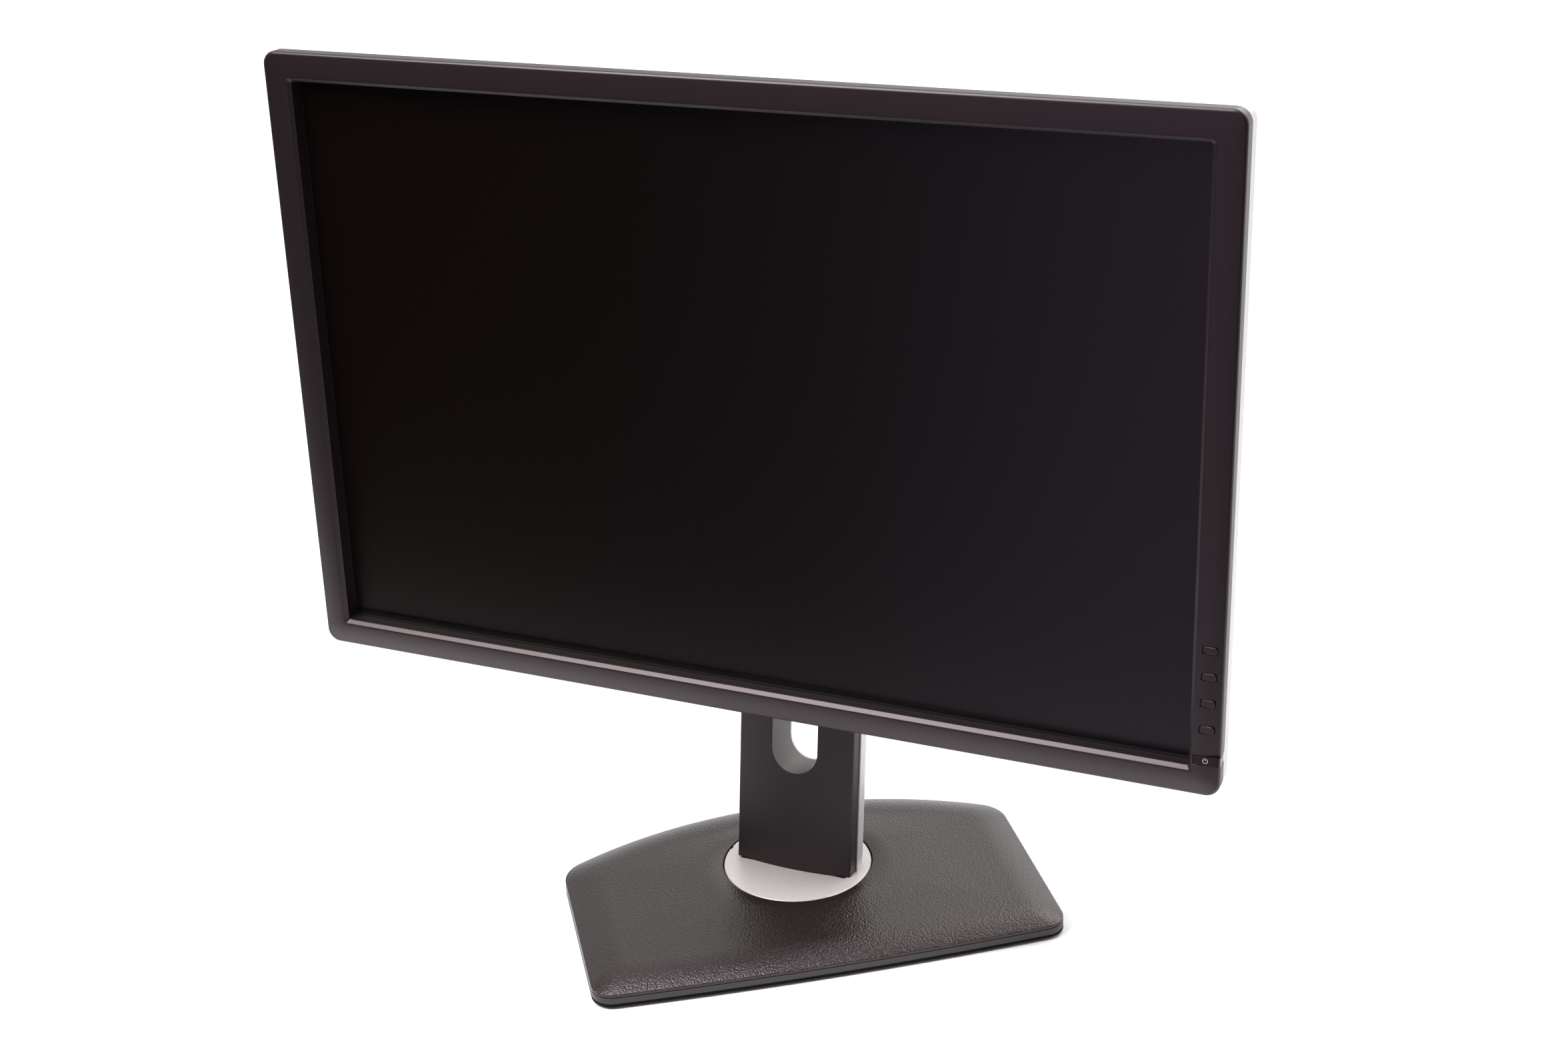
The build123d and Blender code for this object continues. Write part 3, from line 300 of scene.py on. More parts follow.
def matt_abs(name, colour):
    """Unpainted ABS from a shot-blasted tool: matt, with hardly any shine."""
    looks = {"Roughness": 0.8, "Specular_IOR_Level": 0.12}
    return mottled(name, colour, 0.8 * MM, 2.0, (0.85, 1.2), (0.4, 0.05 * MM), **looks)


def antiglare_film(name, colour, roughness):
    """Polariser with a hard anti-glare coat: reflections melt into a faint haze."""
    looks = {"IOR": 1.49, "Roughness": roughness, "Specular_IOR_Level": 0.42}
    return mottled(name, colour, 0.5 * MM, 1.0, (0.85, 1.15), (0.15, 0.01 * MM), **looks)


def gloss_polycarbonate(name, colour):
    """Polished polycarbonate key cap: deep colour under a clear skin."""
    looks = {"IOR": 1.45, "Roughness": 0.2, "Specular_IOR_Level": 0.35}
    return mottled(name, colour, 8 * MM, 2.0, (0.9, 1.15), **looks)


def zinc_plated_steel(name, colour, roughness=0.34):
    """Pressed steel with bright zinc plating: faint spangle over the rolling lines of sheet."""
    material, tree, shader, place = new_material(name, Metallic=1.0, Roughness=roughness)
    spangle = cells(tree, place, 5 * MM)
    paint(tree, shader, spangle["Color"], darker(colour, 0.88), darker(colour, 1.05))
    emboss(tree, shader, streaks(tree, place, (1, 40, 40), 60.0, 3.0), 0.2, 0.02 * MM)
    return material


def powder_coated_steel(name, colour):
    """Black powder coat on steel: satin, with the slight orange peel of fused powder."""
    looks = {"IOR": 1.5, "Roughness": 0.42}
    return mottled(name, colour, 1.6 * MM, 1.0, (0.9, 1.1), (0.35, 0.06 * MM), **looks)


def chromed_steel(name, colour):
    """Hard chrome on a ground rod: mirror bright, with hair-fine grinding rings."""
    material, tree, shader, place = new_material(name, Metallic=1.0, Roughness=0.09)
    inputs = {"Vector": place, "Scale": 1 / (2 * MM), "Distortion": 0.5}
    rings = add_node(tree, "ShaderNodeTexWave", inputs, bands_direction="Z")
    paint(tree, shader, rings.outputs["Fac"], darker(colour, 0.96), colour)
    return material


def vulcanised_rubber(name, colour):
    """Matt black rubber pads: no shine, a dusty bloom and a fine moulded tooth."""
    looks = {"IOR": 1.52, "Roughness": 0.85}
    return mottled(name, colour, 6 * MM, 5.0, (1.0, 1.8), (0.4, 0.05 * MM), **looks)


def clear_acrylic(name, colour):
    """Cast acrylic light guide: clear, with a print of fine white dots."""
    material, tree, shader, place = new_material(
        name, IOR=1.49, Roughness=0.08, Transmission_Weight=0.6
    )
    dots = cells(tree, place, 2 * MM)
    paint(tree, shader, dots["Distance"], colour, darker(colour, 0.85))
    return material


def lamp_glass(name, colour):
    """Phosphor-lined glass tube: milky white under clear glass."""
    looks = {"IOR": 1.5, "Roughness": 0.1, "Coat_Weight": 0.6}
    return mottled(name, colour, 4 * MM, 2.0, (0.93, 1.0), **looks)


def solder_mask(name, colour):
    """Epoxy-glass board under green solder mask: glossy, with straight traces a shade lighter."""
    material, tree, shader, place = new_material(name, IOR=1.55, Roughness=0.3)
    inputs = {"Vector": place, "Color1": colour, "Color2": darker(colour, 1.3), "Scale": 60.0}
    traces = add_node(tree, "ShaderNodeTexBrick", {**inputs, "Mortar": darker(colour, 1.9)})
    link(tree, traces.outputs["Color"], shader, "Base Color")
    return material


def brushed_brass(name, colour):
    """Stamped brass contacts: warm yellow metal with fine drawn lines."""
    material, tree, shader, place = new_material(name, Metallic=1.0, Roughness=0.25)
    drawn = streaks(tree, place, (60, 60, 1), 30.0)
    paint(tree, shader, drawn, darker(colour, 0.85), colour)
    return material


def pad_print_ink(name, colour):
    """Pale pad-printed ink: flat and slightly uneven, as a thin print is."""
    return mottled(name, colour, 0.4 * MM, 2.0, (0.9, 1.0), IOR=1.45, Roughness=0.5)


def make_finishes(colours):
    """Every finish of the monitor, under the name of the record's material slot or a finer one."""
    return {
        "black_abs": spark_textured_abs("spark_textured_black_abs", colours.black_abs, 0.38),
        "column_abs": spark_textured_abs(
            "spark_textured_column_abs", colours.column_abs, 0.45, 0.6 * MM, 0.05 * MM
        ),
        "key_abs": spark_textured_abs(
            "satin_key_abs", colours.black_abs, 0.36, 0.5 * MM, 0.015 * MM
        ),
        "grained_abs": leather_grained_abs("leather_grained_grey_abs", colours.foot_abs, 0.3),
        "tray_abs": satin_abs("satin_tray_abs", colours.tray_abs, 0.4),
        # Matt black finish of the strip that paints the shadow in the gap under the tray.
        "shadow_strip": matt_abs("matt_black_painted_shadow_abs", colours.shadow_strip),
        "silver_abs": silver_painted_abs("silver_painted_abs", colours.silver_paint, 0.36),
        "grey_abs": satin_abs("satin_grey_liner_abs", colours.liner_abs, 0.5),
        "plated_steel": zinc_plated_steel("zinc_plated_steel", colours.zinc),
        "black_paint": powder_coated_steel("black_powder_coated_steel", colours.black_coat),
        "acetal": satin_abs("moulded_acetal", colours.acetal, 0.35),
        "black_screw": powder_coated_steel("black_oxide_screw_steel", colours.black_coat),
        "chrome": chromed_steel("chromed_ground_steel", colours.chrome),
        "screen_film": antiglare_film("antiglare_polariser_film", colours.screen, 0.26),
        "white_film": satin_abs("opal_diffuser_film", colours.opal_film, 0.7),
        "acrylic": clear_acrylic("cast_acrylic_light_guide", colours.acrylic),
        "lamp_glass": lamp_glass("phosphor_lined_glass", colours.lamp),
        "circuit_board": solder_mask("green_solder_mask", colours.board),
        "black_parts": satin_abs("moulded_phenolic_parts", colours.black_parts, 0.4),
        "brass": brushed_brass("stamped_brass", colours.brass),
        "gloss_key": gloss_polycarbonate("gloss_polycarbonate_key", colours.power_key),
        "white_sign": pad_print_ink("pale_pad_print_ink", colours.key_sign),
        "rubber": vulcanised_rubber("vulcanised_rubber", colours.rubber),
    }


FINER_FINISH = {
    "base_bottom_tray": "tray_abs",
    "column_front_cover": "column_abs",
    "osd_key_1": "key_abs",
    "osd_key_2": "key_abs",
    "osd_key_3": "key_abs",
    "osd_key_4": "key_abs",
}


def finish_of(node_name):
    """The finish that a CAD node takes: a finer one where it has it, or else its record slot's."""
    slots = {part["node"]: part["material_slot"] for part in frame["record"]["subparts"]}
    return FINER_FINISH.get(node_name, slots[node_name])


def finish(name):
    """A finish made earlier in this file, by its key."""
    return bpy.data.materials[bpy.context.scene["finish_names"][name]]


# -------- mesh helpers
def smooth_with_sharp_edges(mesh):
    """Smooth faces, with edges kept sharp where the surface turns hard."""
    form = bmesh.new()
    form.from_mesh(mesh)
    for edge in form.edges:
        edge.smooth = len(edge.link_faces) == 2 and edge.calc_face_angle(0.0) < SHARP_ANGLE
    for face in form.faces:
        face.smooth = True
    form.to_mesh(mesh)
    form.free()


def add_piece(name, form, place, body, finish_name, replaced=()):
    """Makes an object from a bmesh drawn in a place's axes, and ties it to the frame."""
    bmesh.ops.recalc_face_normals(form, faces=form.faces)
    mesh = bpy.data.meshes.new(name)
    form.to_mesh(mesh)
    form.free()
    mesh.transform(place)
    smooth_with_sharp_edges(mesh)
    piece = bpy.data.objects.new(name, mesh)
    bpy.context.scene.collection.objects.link(piece)
    mesh.materials.append(finish(finish_name))
    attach(piece, body)
    if replaced:
        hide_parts(*replaced)
    return piece


def join_rings(form, rings, close=True):
    """Quads between rings of equal count, and between the last ring and the first one."""
    loops = [[form.verts.new(point) for point in ring] for ring in rings]
    count = len(loops[0])
    pairs = list(zip(loops, loops[1:]))
    if close:
        pairs.append((loops[-1], loops[0]))
    for near, far in pairs:
        for step in range(count):
            after = (step + 1) % count
            form.faces.new((near[step], near[after], far[after], far[step]))
    return loops


def rounded_rectangle(half_width, half_height, radius, corner_steps, side_steps):
    """Points of a rounded rectangle, anticlockwise, the same count for any size."""
    points = []
    middles = (
        (half_width - radius, half_height - radius),
        (radius - half_width, half_height - radius),
        (radius - half_width, radius - half_height),
        (half_width - radius, radius - half_height),
    )
    for corner, (x, y) in enumerate(middles):
        arc = []
        for step in range(corner_steps + 1):
            angle = math.pi / 2 * (corner + step / corner_steps)
            arc.append(Vector((x + radius * math.cos(angle), y + radius * math.sin(angle))))
        if points:
            start = points[-1]
            points += [start.lerp(arc[0], step / side_steps) for step in range(1, side_steps)]
        points += arc
    start, end = points[-1], points[0]
    points += [start.lerp(end, step / side_steps) for step in range(1, side_steps)]
    return points


def cut_away(piece, cutters):
    """Cuts closed forms out of a piece, and deletes them."""
    for cutter in cutters:
        cut = piece.modifiers.new("cut", "BOOLEAN")
        cut.operation = "DIFFERENCE"
        cut.solver = "EXACT"
        cut.object = cutter
    bpy.context.view_layer.update()
    cooked = piece.evaluated_get(bpy.context.evaluated_depsgraph_get())
    mesh = bpy.data.meshes.new_from_object(cooked)
    piece.modifiers.clear()
    piece.data = mesh
    for cutter in cutters:
        bpy.data.objects.remove(cutter)
    smooth_with_sharp_edges(mesh)


def grown(outline, amount):
    """An outline moved outwards from its middle, for the broken edge of an opening."""
    middle = sum(outline, Vector((0, 0))) / len(outline)
    moved = []
    for index, point in enumerate(outline):
        along = outline[(index + 1) % len(outline)] - outline[index - 1]
        outward = Vector((along.y, -along.x)).normalized()
        if outward.dot(point - middle) < 0:
            outward = -outward
        moved.append(point + outward * amount)
    return moved


def closed_cutter(name, rings, place):
    """A solid from rings drawn in a place's axes, closed at both ends, for cutting."""
    form = bmesh.new()
    loops = join_rings(form, rings, close=False)
    form.faces.new(loops[0])
    form.faces.new(loops[-1])
    bmesh.ops.recalc_face_normals(form, faces=form.faces)
    mesh = bpy.data.meshes.new(name)
    form.to_mesh(mesh)
    form.free()
    mesh.transform(place)
    cutter = bpy.data.objects.new(name, mesh)
    bpy.context.scene.collection.objects.link(cutter)
    return cutter


def opening_cutter(name, outline, floor, break_edge):
    """A prism that cuts an opening in the bezel, flared where it leaves the surface."""
    above = 1 * MM
    sections = (
        (outline, floor),
        (outline, -break_edge),
        (grown(outline, break_edge), 0.0),
        (grown(outline, break_edge + above), above),
    )
    rings = [[Vector((point.x, point.y, level)) for point in section] for section, level in sections]
    return closed_cutter(name, rings, HEAD)


# -------- settings
def length(name, description, default):
    """A length property in metres."""
    return bpy.props.FloatProperty(name=name, description=description, default=default, unit="LENGTH")


class MonitorColours(bpy.types.PropertyGroup):
    """Colours of the finishes."""

    black_abs: hex_colour("Bezel plastic", "#181213")
    column_abs: hex_colour("Column plastic", "#120e10")
    foot_abs: hex_colour("Foot plastic", "#161110")
    tray_abs: hex_colour("Tray plastic", "#171213")
    # Colour of the black strip of painted shadow round the tray's bottom.
    shadow_strip: hex_colour("Shadow strip", "#080707")
    liner_abs: hex_colour("Cable hole liner", "#57504f")
    silver_paint: hex_colour("Silver paint", "#cbc7c5")
    screen: hex_colour("Screen film", "#080402")
    power_key: hex_colour("Power key", "#1d100d")
    key_sign: hex_colour("Key sign", "#a9b4c4")
    zinc: hex_colour("Zinc plating", "#b9bcbe")
    black_coat: hex_colour("Powder coat", "#161617")
    acetal: hex_colour("Acetal", "#e6e4dc")
    chrome: hex_colour("Chrome", "#d8dadc")
    opal_film: hex_colour("Diffuser film", "#eeeeee")
    acrylic: hex_colour("Light guide", "#eef2f2")
    lamp: hex_colour("Lamp", "#f2f2f4")
    board: hex_colour("Circuit board", "#11552f")
    black_parts: hex_colour("Board parts", "#151515")
    brass: hex_colour("Brass", "#c9a25a")
    rubber: hex_colour("Rubber", "#121212")


class MonitorBezelSettings(bpy.types.PropertyGroup):
    """Section of the bezel."""

    crown: length("Crown", "How far the face falls back at its outer edge", 1.6 * MM)
    top_loss: bpy.props.FloatProperty(
        name="Top loss",
        description="Share of the crown that is gone at the top bar",
        default=0.7,
        min=0.0,
        max=1.0,
    )
    edge_radius: length("Edge radius", "Round of the outer front edge", 1.8 * MM)
    chamfer: length("Chamfer", "Width of the slope round the screen", 2.0 * MM)
    chamfer_depth: length("Chamfer depth", "Depth of the slope round the screen", 2.0 * MM)
    wall: length("Wall", "Thickness of the moulding", 2.2 * MM)
    key_gap: length("Key gap", "Gap round each small key", 0.38 * MM)
    key_edge: length("Key edge", "Broken edge of each key's opening", 0.2 * MM)
    key_travel: length("Key travel", "Room behind the power key for its press", 1.2 * MM)
    corner_steps: bpy.props.IntProperty(
        name="Corner steps", description="Segments in each corner", default=14, min=3
    )


class MonitorFootSettings(bpy.types.PropertyGroup):
    """Outline and roll of the foot's top cover, as in the design."""

    turn: bpy.props.FloatProperty(
        name="Turn",
        description="Turn of the foot under the column",
        default=math.radians(36.5),
        subtype="ANGLE",
    )
    half: length("Half width", "Half the foot's width", 141.4 * MM)
    front_mid: length("Front middle", "Front edge at the middle", -104.6 * MM)
    front_side: length("Front side", "Front edge at the sides", -100.2 * MM)
    back_mid: length("Back middle", "Back edge at the middle", 79.0 * MM)
    back_side: length("Back side", "Back edge at the sides", 38.4 * MM)
    front_radius: length("Front corner radius", "Round of the front corners", 13.0 * MM)
    back_radius: length("Back corner radius", "Round of the back corners", 22.0 * MM)
    roll: length("Roll", "Width of the soft roll along the edge", 24.0 * MM)
    wall: length("Wall", "Thickness of the moulding", 2.4 * MM)
    shoulder: length("Shoulder", "Height where the upright side ends", 10.0 * MM)
    edge_round: length("Edge round", "Round between the side and the roll", 0.5 * MM)
    shadow_strip_height: length("Edging height", "Height of the black edging round the tray", 1.6 * MM)
    rim_rise: length("Rim rise", "How far the opening's rim stands over the disc", 0.3 * MM)
    seam_gap: length("Seam gap", "Shadow gap above the tray", 0.5 * MM)
    fall: bpy.props.FloatProperty(
        name="Fall", description="Exponent of the roll's section; 2 is a parabola", default=2.1, min=1.0
    )


class MonitorLinerSettings(bpy.types.PropertyGroup):
    """Sleeve of the cable hole."""

    wall: length("Wall", "Thickness of the sleeve behind the front cover", 1.8 * MM)
    slack: length("Slack", "Gap between the nose and the cover's opening", 0.04 * MM)
    skin: length("Skin", "Thickness of the nose", 0.3 * MM)
    setback: length("Setback", "How far the nose stops behind the cover's face", 0.9 * MM)
    steps: bpy.props.IntProperty(
        name="Steps", description="Segments in each half round", default=40, min=8
    )


class MonitorScrewSettings(bpy.types.PropertyGroup):
    """Heads and recesses of the case screws."""

    head_radius: length("Head radius", "Radius of each head", 3.2 * MM)
    head_height: length("Head height", "Height of each head", 1.6 * MM)
    shank_radius: length("Shank radius", "Radius of each shank", 1.55 * MM)
    recess_half: length("Recess half length", "Half the length of the cross", 1.7 * MM)
    recess_width: length("Recess width", "Width of each arm of the cross", 0.8 * MM)
    recess_depth: length("Recess depth", "Depth of the cross", 1.1 * MM)


class MonitorStageSettings(bpy.types.PropertyGroup):
    """Camera and studio."""

    lens: bpy.props.FloatProperty(name="Lens", description="Focal length in millimetres", default=53.46)
    camera_at: bpy.props.FloatVectorProperty(
        name="Camera place",
        description="Where the camera stands",
        default=(0.53052, -1.11349, 0.78018),
        subtype="TRANSLATION", unit="LENGTH",
    )
    camera_forward: bpy.props.FloatVectorProperty(
        name="Camera forward",
        description="Direction of view",
        default=(-0.39373, 0.82833, -0.39856),
        subtype="DIRECTION",
    )
    camera_up: bpy.props.FloatVectorProperty(
        name="Camera up",
        description="Upward side of the picture",
        default=(-0.12930, 0.37936, 0.91617),
        subtype="DIRECTION",
    )


# -------- operators
class MONITOR_OT_finishes(bpy.types.Operator):
    """Makes every finish and puts one on each CAD node"""

    bl_idname = "monitor.finishes"
    bl_label = "Finishes"

    def execute(self, context):
        finishes = make_finishes(context.scene.monitor_colours)
        context.scene["finish_names"] = {key: material.name for key, material in finishes.items()}
        for name, node in frame["nodes"].items():
            material = finishes[finish_of(name)]
            node.data.materials.clear()
            node.data.materials.append(material)
        return {"FINISHED"}


def bezel_rings(settings, half_width, half_height, rear):
    """Rings of the bezel's section, from the outer edge over the face and lip to the inside."""
    side, top = SIDE_BAR - settings.chamfer, TOP_BAR - settings.chamfer
    lip_half = (half_width - side - settings.chamfer, half_height - top - settings.chamfer)
    width, wall, slope = side + settings.chamfer, settings.wall, settings.chamfer_depth
    crease, smallest_radius = 0.12 * MM, 0.4 * MM

    def crown_at(y):
        """How far the outer edge falls back at a height: most at the bottom, least at the top."""
        return settings.crown * (1 - settings.top_loss * (y / half_height + 1) / 2)

    def ring(share, depth, inset=0.0, fall=0.0):
        """One ring of the section: share 0 is the outer edge and 1 is the lip's inner edge."""
        radius = OUTER_RADIUS + (LIP_RADIUS - OUTER_RADIUS) * share
        outline = rounded_rectangle(
            half_width + (lip_half[0] - half_width) * share - inset,
            half_height + (lip_half[1] - half_height) * share - inset,
            max(radius - inset, smallest_radius),
            settings.corner_steps,
            1,
        )
        return [Vector((point.x, point.y, depth - fall * crown_at(point.y))) for point in outline]

    radius = settings.edge_radius
    rings = [ring(0, rear), ring(0, -radius, fall=1.0)]
    round_steps = 7
    for step in range(1, round_steps + 1):
        angle = math.pi / 2 * step / round_steps
        inset = radius * (1 - math.cos(angle))
        rings.append(ring(0, radius * (math.sin(angle) - 1), inset, fall=1.0))
    face_steps = 9
    face_start = radius / width
    face_end = side / width
    for step in range(1, face_steps + 1):
        along = step / face_steps
        share = face_start + (face_end - face_start) * along
        rings.append(ring(share, 0.0, fall=(1 - along) ** 2))
    inner_back = 1 - wall * 0.75 / width
    section = (
        ((side + crease) / width, -0.3 * crease),
        ((side + 2 * crease) / width, -1.3 * crease),
        ((width - 2 * crease) / width, 1.6 * crease - slope),
        ((width - crease) / width, 0.5 * crease - slope),
        (1, -slope - crease),
        (1, -slope - 3 * crease),
        (1, rear),
        (inner_back, rear),
        (inner_back, -wall - 0.3 * MM),
        (wall / width, -wall - settings.crown),
        (wall / width, rear),
    )
    return rings + [ring(share, depth) for share, depth in section]


def key_cutters(settings):
    """Cutters for the openings of the four small keys."""
    gap = settings.key_gap
    cutters = []
    for number in range(1, 5):
        low, high = local_box(f"osd_key_{number}", HEAD)
        middle, half = (low + high) / 2, (high - low) / 2
        outline = rounded_rectangle(half.x + gap, half.y + gap, KEY_RADIUS, 6, 1)
        outline = [Vector((point.x + middle.x, point.y + middle.y)) for point in outline]
        name = f"key_cut_{number}"
        cutters.append(opening_cutter(name, outline, -KEY_DEPTH, settings.key_edge))
    return cutters


def power_key_cutters(settings, half_width):
    """Cutters for the power key's notch: one through the face and a deeper one at the side."""
    low, high = local_box("power_key", HEAD)
    gap, edge = 0.3 * MM, 0.1 * MM
    outside = half_width + 2 * MM

    def notch(inner_x, floor, name):
        """A notch from an inner end out past the bezel's side."""
        bottom, top = low.y - gap, high.y + gap
        corners = ((inner_x, bottom), (outside, bottom), (outside, top), (inner_x, top))
        return opening_cutter(name, [Vector(corner) for corner in corners], floor, edge)

    return [
        notch(low.x - gap, -KEY_DEPTH - settings.key_travel, "power_cut_face"),
        notch(half_width - SIDE_NOTCH, low.z - settings.key_travel - gap, "power_cut_side"),
    ]


class MONITOR_OT_bezel(bpy.types.Operator):
    """Adds the bezel: a moulding with a crowned face, a sloping lip and openings for the keys"""

    bl_idname = "monitor.bezel"
    bl_label = "Bezel"

    def execute(self, context):
        settings = context.scene.monitor_bezel
        low, high = local_box("front_bezel", HEAD)
        half_width, half_height = (high.x - low.x) / 2, (high.y - low.y) / 2
        form = bmesh.new()
        join_rings(form, bezel_rings(settings, half_width, half_height, low.z))
        piece = add_piece("bezel", form, HEAD, "head", "black_abs", ["front_bezel"])
        cut_away(piece, key_cutters(settings) + power_key_cutters(settings, half_width))
        return {"FINISHED"}


def foot_ring(settings, inset, height):
    """One ring of the foot's outline at an inset and a height, its corners softened with the inset."""
    half = settings.half - inset
    softening, smallest_radius = 0.35, 3 * MM

    def bow(side_y, mid_y, corner_radius, towards):
        """The arc through both sides and the middle, and the round where it meets a side."""
        rise = abs(mid_y - side_y)
        arc = (settings.half ** 2 + rise ** 2) / (2 * rise)
        centre = mid_y - towards * arc
        arc -= inset
        radius = max(corner_radius - softening * inset, smallest_radius)
        x = half - radius
        y = centre + towards * math.sqrt((arc - radius) ** 2 - x ** 2)
        return centre, arc, radius, x, y, math.atan2(y - centre, x)

    def sweep(x, y, radius, start, end, count, ends=True):
        """Points along an arc, with or without its two ends."""
        steps = range(count + 1) if ends else range(1, count)
        angles = [start + (end - start) * step / count for step in steps]
        return [(x + radius * math.cos(angle), y + radius * math.sin(angle)) for angle in angles]

    def side(x, start, end):
        """Points up or down a straight side, without its two ends."""
        count = 3 * FOOT_STEPS
        return [(x, start + (end - start) * step / count) for step in range(1, count)]

    turn, steps, long = math.pi, FOOT_STEPS, 5 * FOOT_STEPS
    back = bow(settings.back_side, settings.back_mid, settings.back_radius, 1)
    front = bow(settings.front_side, settings.front_mid, settings.front_radius, -1)
    back_centre, back_arc, back_radius, back_x, back_y, back_meet = back
    front_centre, front_arc, front_radius, front_x, front_y, front_meet = front
    points = sweep(back_x, back_y, back_radius, 0.0, back_meet, steps)
    points += sweep(0.0, back_centre, back_arc, back_meet, turn - back_meet, long, ends=False)
    points += sweep(-back_x, back_y, back_radius, turn - back_meet, turn, steps)
    points += side(-half, back_y, front_y)
    points += sweep(-front_x, front_y, front_radius, turn, turn - front_meet, steps)
    start, end = turn - front_meet, 2 * turn + front_meet
    points += sweep(0.0, front_centre, front_arc, start, end, long, ends=False)
    points += sweep(front_x, front_y, front_radius, front_meet, 0.0, steps)
    points += side(half, front_y, back_y)
    return [Vector((x, y, height)) for x, y in points]


class MONITOR_OT_foot_cover(bpy.types.Operator):
    """Adds the foot's top cover: a grained moulding with a soft roll and a round opening"""

    bl_idname = "monitor.foot_cover"
    bl_label = "Foot cover"

    def execute(self, context):
        settings = context.scene.monitor_foot
        low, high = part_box("base_top_cover")
        disc_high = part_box("turntable_disc")[1]
        opening = disc_high.x + OPENING_GAP
        rim = disc_high.z + settings.rim_rise
        flat = high.z - FLAT_DROP
        seam = low.z + settings.seam_gap
        shoulder, edge, wall = settings.shoulder, settings.edge_round, settings.wall
        rings = [
            foot_ring(settings, 0.0, seam),
            foot_ring(settings, 0.0, shoulder - edge),
            foot_ring(settings, 0.3 * edge, shoulder - 0.3 * edge),
            foot_ring(settings, edge, shoulder + 0.1 * edge),
        ]
        roll_steps = 16
        for step in range(1, roll_steps + 1):
            along = step / roll_steps
            height = shoulder + (flat - shoulder) * (1 - (1 - along) ** settings.fall)
            rings.append(foot_ring(settings, edge + (settings.roll - edge) * along, height))
        inner = rings[-1]

        def round_ring(radius, height):
            """A round ring whose points face those of the outline's last ring."""
            angles = [math.atan2(point.y, point.x) for point in inner]
            return [Vector((radius * math.cos(a), radius * math.sin(a), height)) for a in angles]

        lip = round_ring(opening + 0.5 * MM, rim)
        blend_steps = 6
        for step in range(1, blend_steps):
            share = step / blend_steps
            rise = flat + (rim - flat) * share * share * (3 - 2 * share)
            blended = [a.lerp(b, share) for a, b in zip(inner, lip)]
            rings.append([Vector((point.x, point.y, rise)) for point in blended])
        rings += [
            lip,
            round_ring(opening + 0.15 * MM, rim - 0.15 * MM),
            round_ring(opening, rim - 0.5 * MM),
            round_ring(opening, high.z - wall),
            foot_ring(settings, settings.roll, high.z - wall - 0.6 * MM),
            foot_ring(settings, wall, low.z + 1.4 * MM),
            foot_ring(settings, wall, seam),
        ]
        form = bmesh.new()
        join_rings(form, rings)
        place = foot_place(settings.turn)
        replaced = ["base_top_cover"]
        add_piece("foot_cover", form, place, "base", "grained_abs", replaced)
        return {"FINISHED"}


class MONITOR_OT_painted_shadow_strip(bpy.types.Operator):
    """Adds a black strip round the bottom of the tray: painted shadow, standing for the shade in the gap under it
    """

    bl_idname = "monitor.foot_edging"
    bl_label = "Foot edging"

    def execute(self, context):
        settings = context.scene.monitor_foot
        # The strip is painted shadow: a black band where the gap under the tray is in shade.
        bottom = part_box("base_bottom_tray")[0].z
        top = bottom + settings.shadow_strip_height
        outer, inner = -SHADOW_STRIP_PROUD, SHADOW_STRIP_DEPTH
        corners = ((outer, bottom), (outer, top), (inner, top), (inner, bottom))
        form = bmesh.new()
        join_rings(form, [foot_ring(settings, inset, height) for inset, height in corners])
        place = foot_place(settings.turn)
        add_piece("foot_edging", form, place, "base", "shadow_strip")
        return {"FINISHED"}


def stadium(half_width, bottom, top, steps):
    """Points of an upright oval with straight sides, anticlockwise."""
    points = []
    for middle, start in ((top - half_width, 0.0), (bottom + half_width, math.pi)):
        for step in range(steps + 1):
            angle = start + math.pi * step / steps
            points.append((half_width * math.cos(angle), middle + half_width * math.sin(angle)))
    return points


class MONITOR_OT_hole_liner(bpy.types.Operator):
    """Adds the cable hole's liner: an oval sleeve whose nose stops behind the front cover's face"""

    bl_idname = "monitor.hole_liner"
    bl_label = "Cable hole liner"

    def execute(self, context):
        settings = context.scene.monitor_liner
        low, high = local_box("cable_hole_liner", COLUMN)
        nose = local_box("column_front_cover", COLUMN)[1].z - settings.setback

        def ring(inset, depth):
            """An oval ring, inset from the sleeve's outside, at a depth."""
            outline = stadium(high.x - inset, low.y + inset, high.y - inset, settings.steps)
            return [Vector((x, y, depth)) for x, y in outline]

        neck = settings.wall + settings.slack
        bore = settings.wall + settings.skin
        form = bmesh.new()
        section = (
            (0.0, low.z), (0.0, high.z), (neck, high.z), (neck, nose), (bore, nose), (bore, low.z)
        )
        join_rings(form, [ring(inset, depth) for inset, depth in section])
        replaced = ["cable_hole_liner"]
        add_piece("hole_liner", form, COLUMN, "column", "grey_abs", replaced)
        return {"FINISHED"}


def screw_section(settings, low_z, high_z):
    """Radius and depth along one screw, from the end of its shank over the head's dome."""
    seat = low_z + settings.head_height
    section = [(settings.shank_radius, high_z), (settings.shank_radius, seat)]
    section.append((settings.head_radius, seat))
    dome_steps = 6
    for step in range(dome_steps):
        angle = math.pi / 2 * step / dome_steps
        radius = settings.head_radius * math.cos(angle) ** DOME_POWER
        section.append((radius, low_z + settings.head_height * DOME_SHARE * (1 - math.sin(angle))))
    return section


def slot_cutter(name, place, turn, settings):
    """One arm of a cross recess: a slot that narrows as it goes in."""
    mouth, above, end = 1.15, -0.5 * MM, 0.55
    rings = []
    for share, depth in ((mouth, above), (1.0, 0.0), (end, settings.recess_depth)):
        long = settings.recess_half * share
        short = settings.recess_width / 2 * (0.5 + share / 2)
        corners = ((long, short), (-long, short), (-long, -short), (long, -short))
        rings.append([Vector((x, y, depth)) for x, y in corners])
    turned = HEAD @ Matrix.Translation(Vector(place)) @ Matrix.Rotation(turn, 4, "Z")
    return closed_cutter(name, rings, turned)


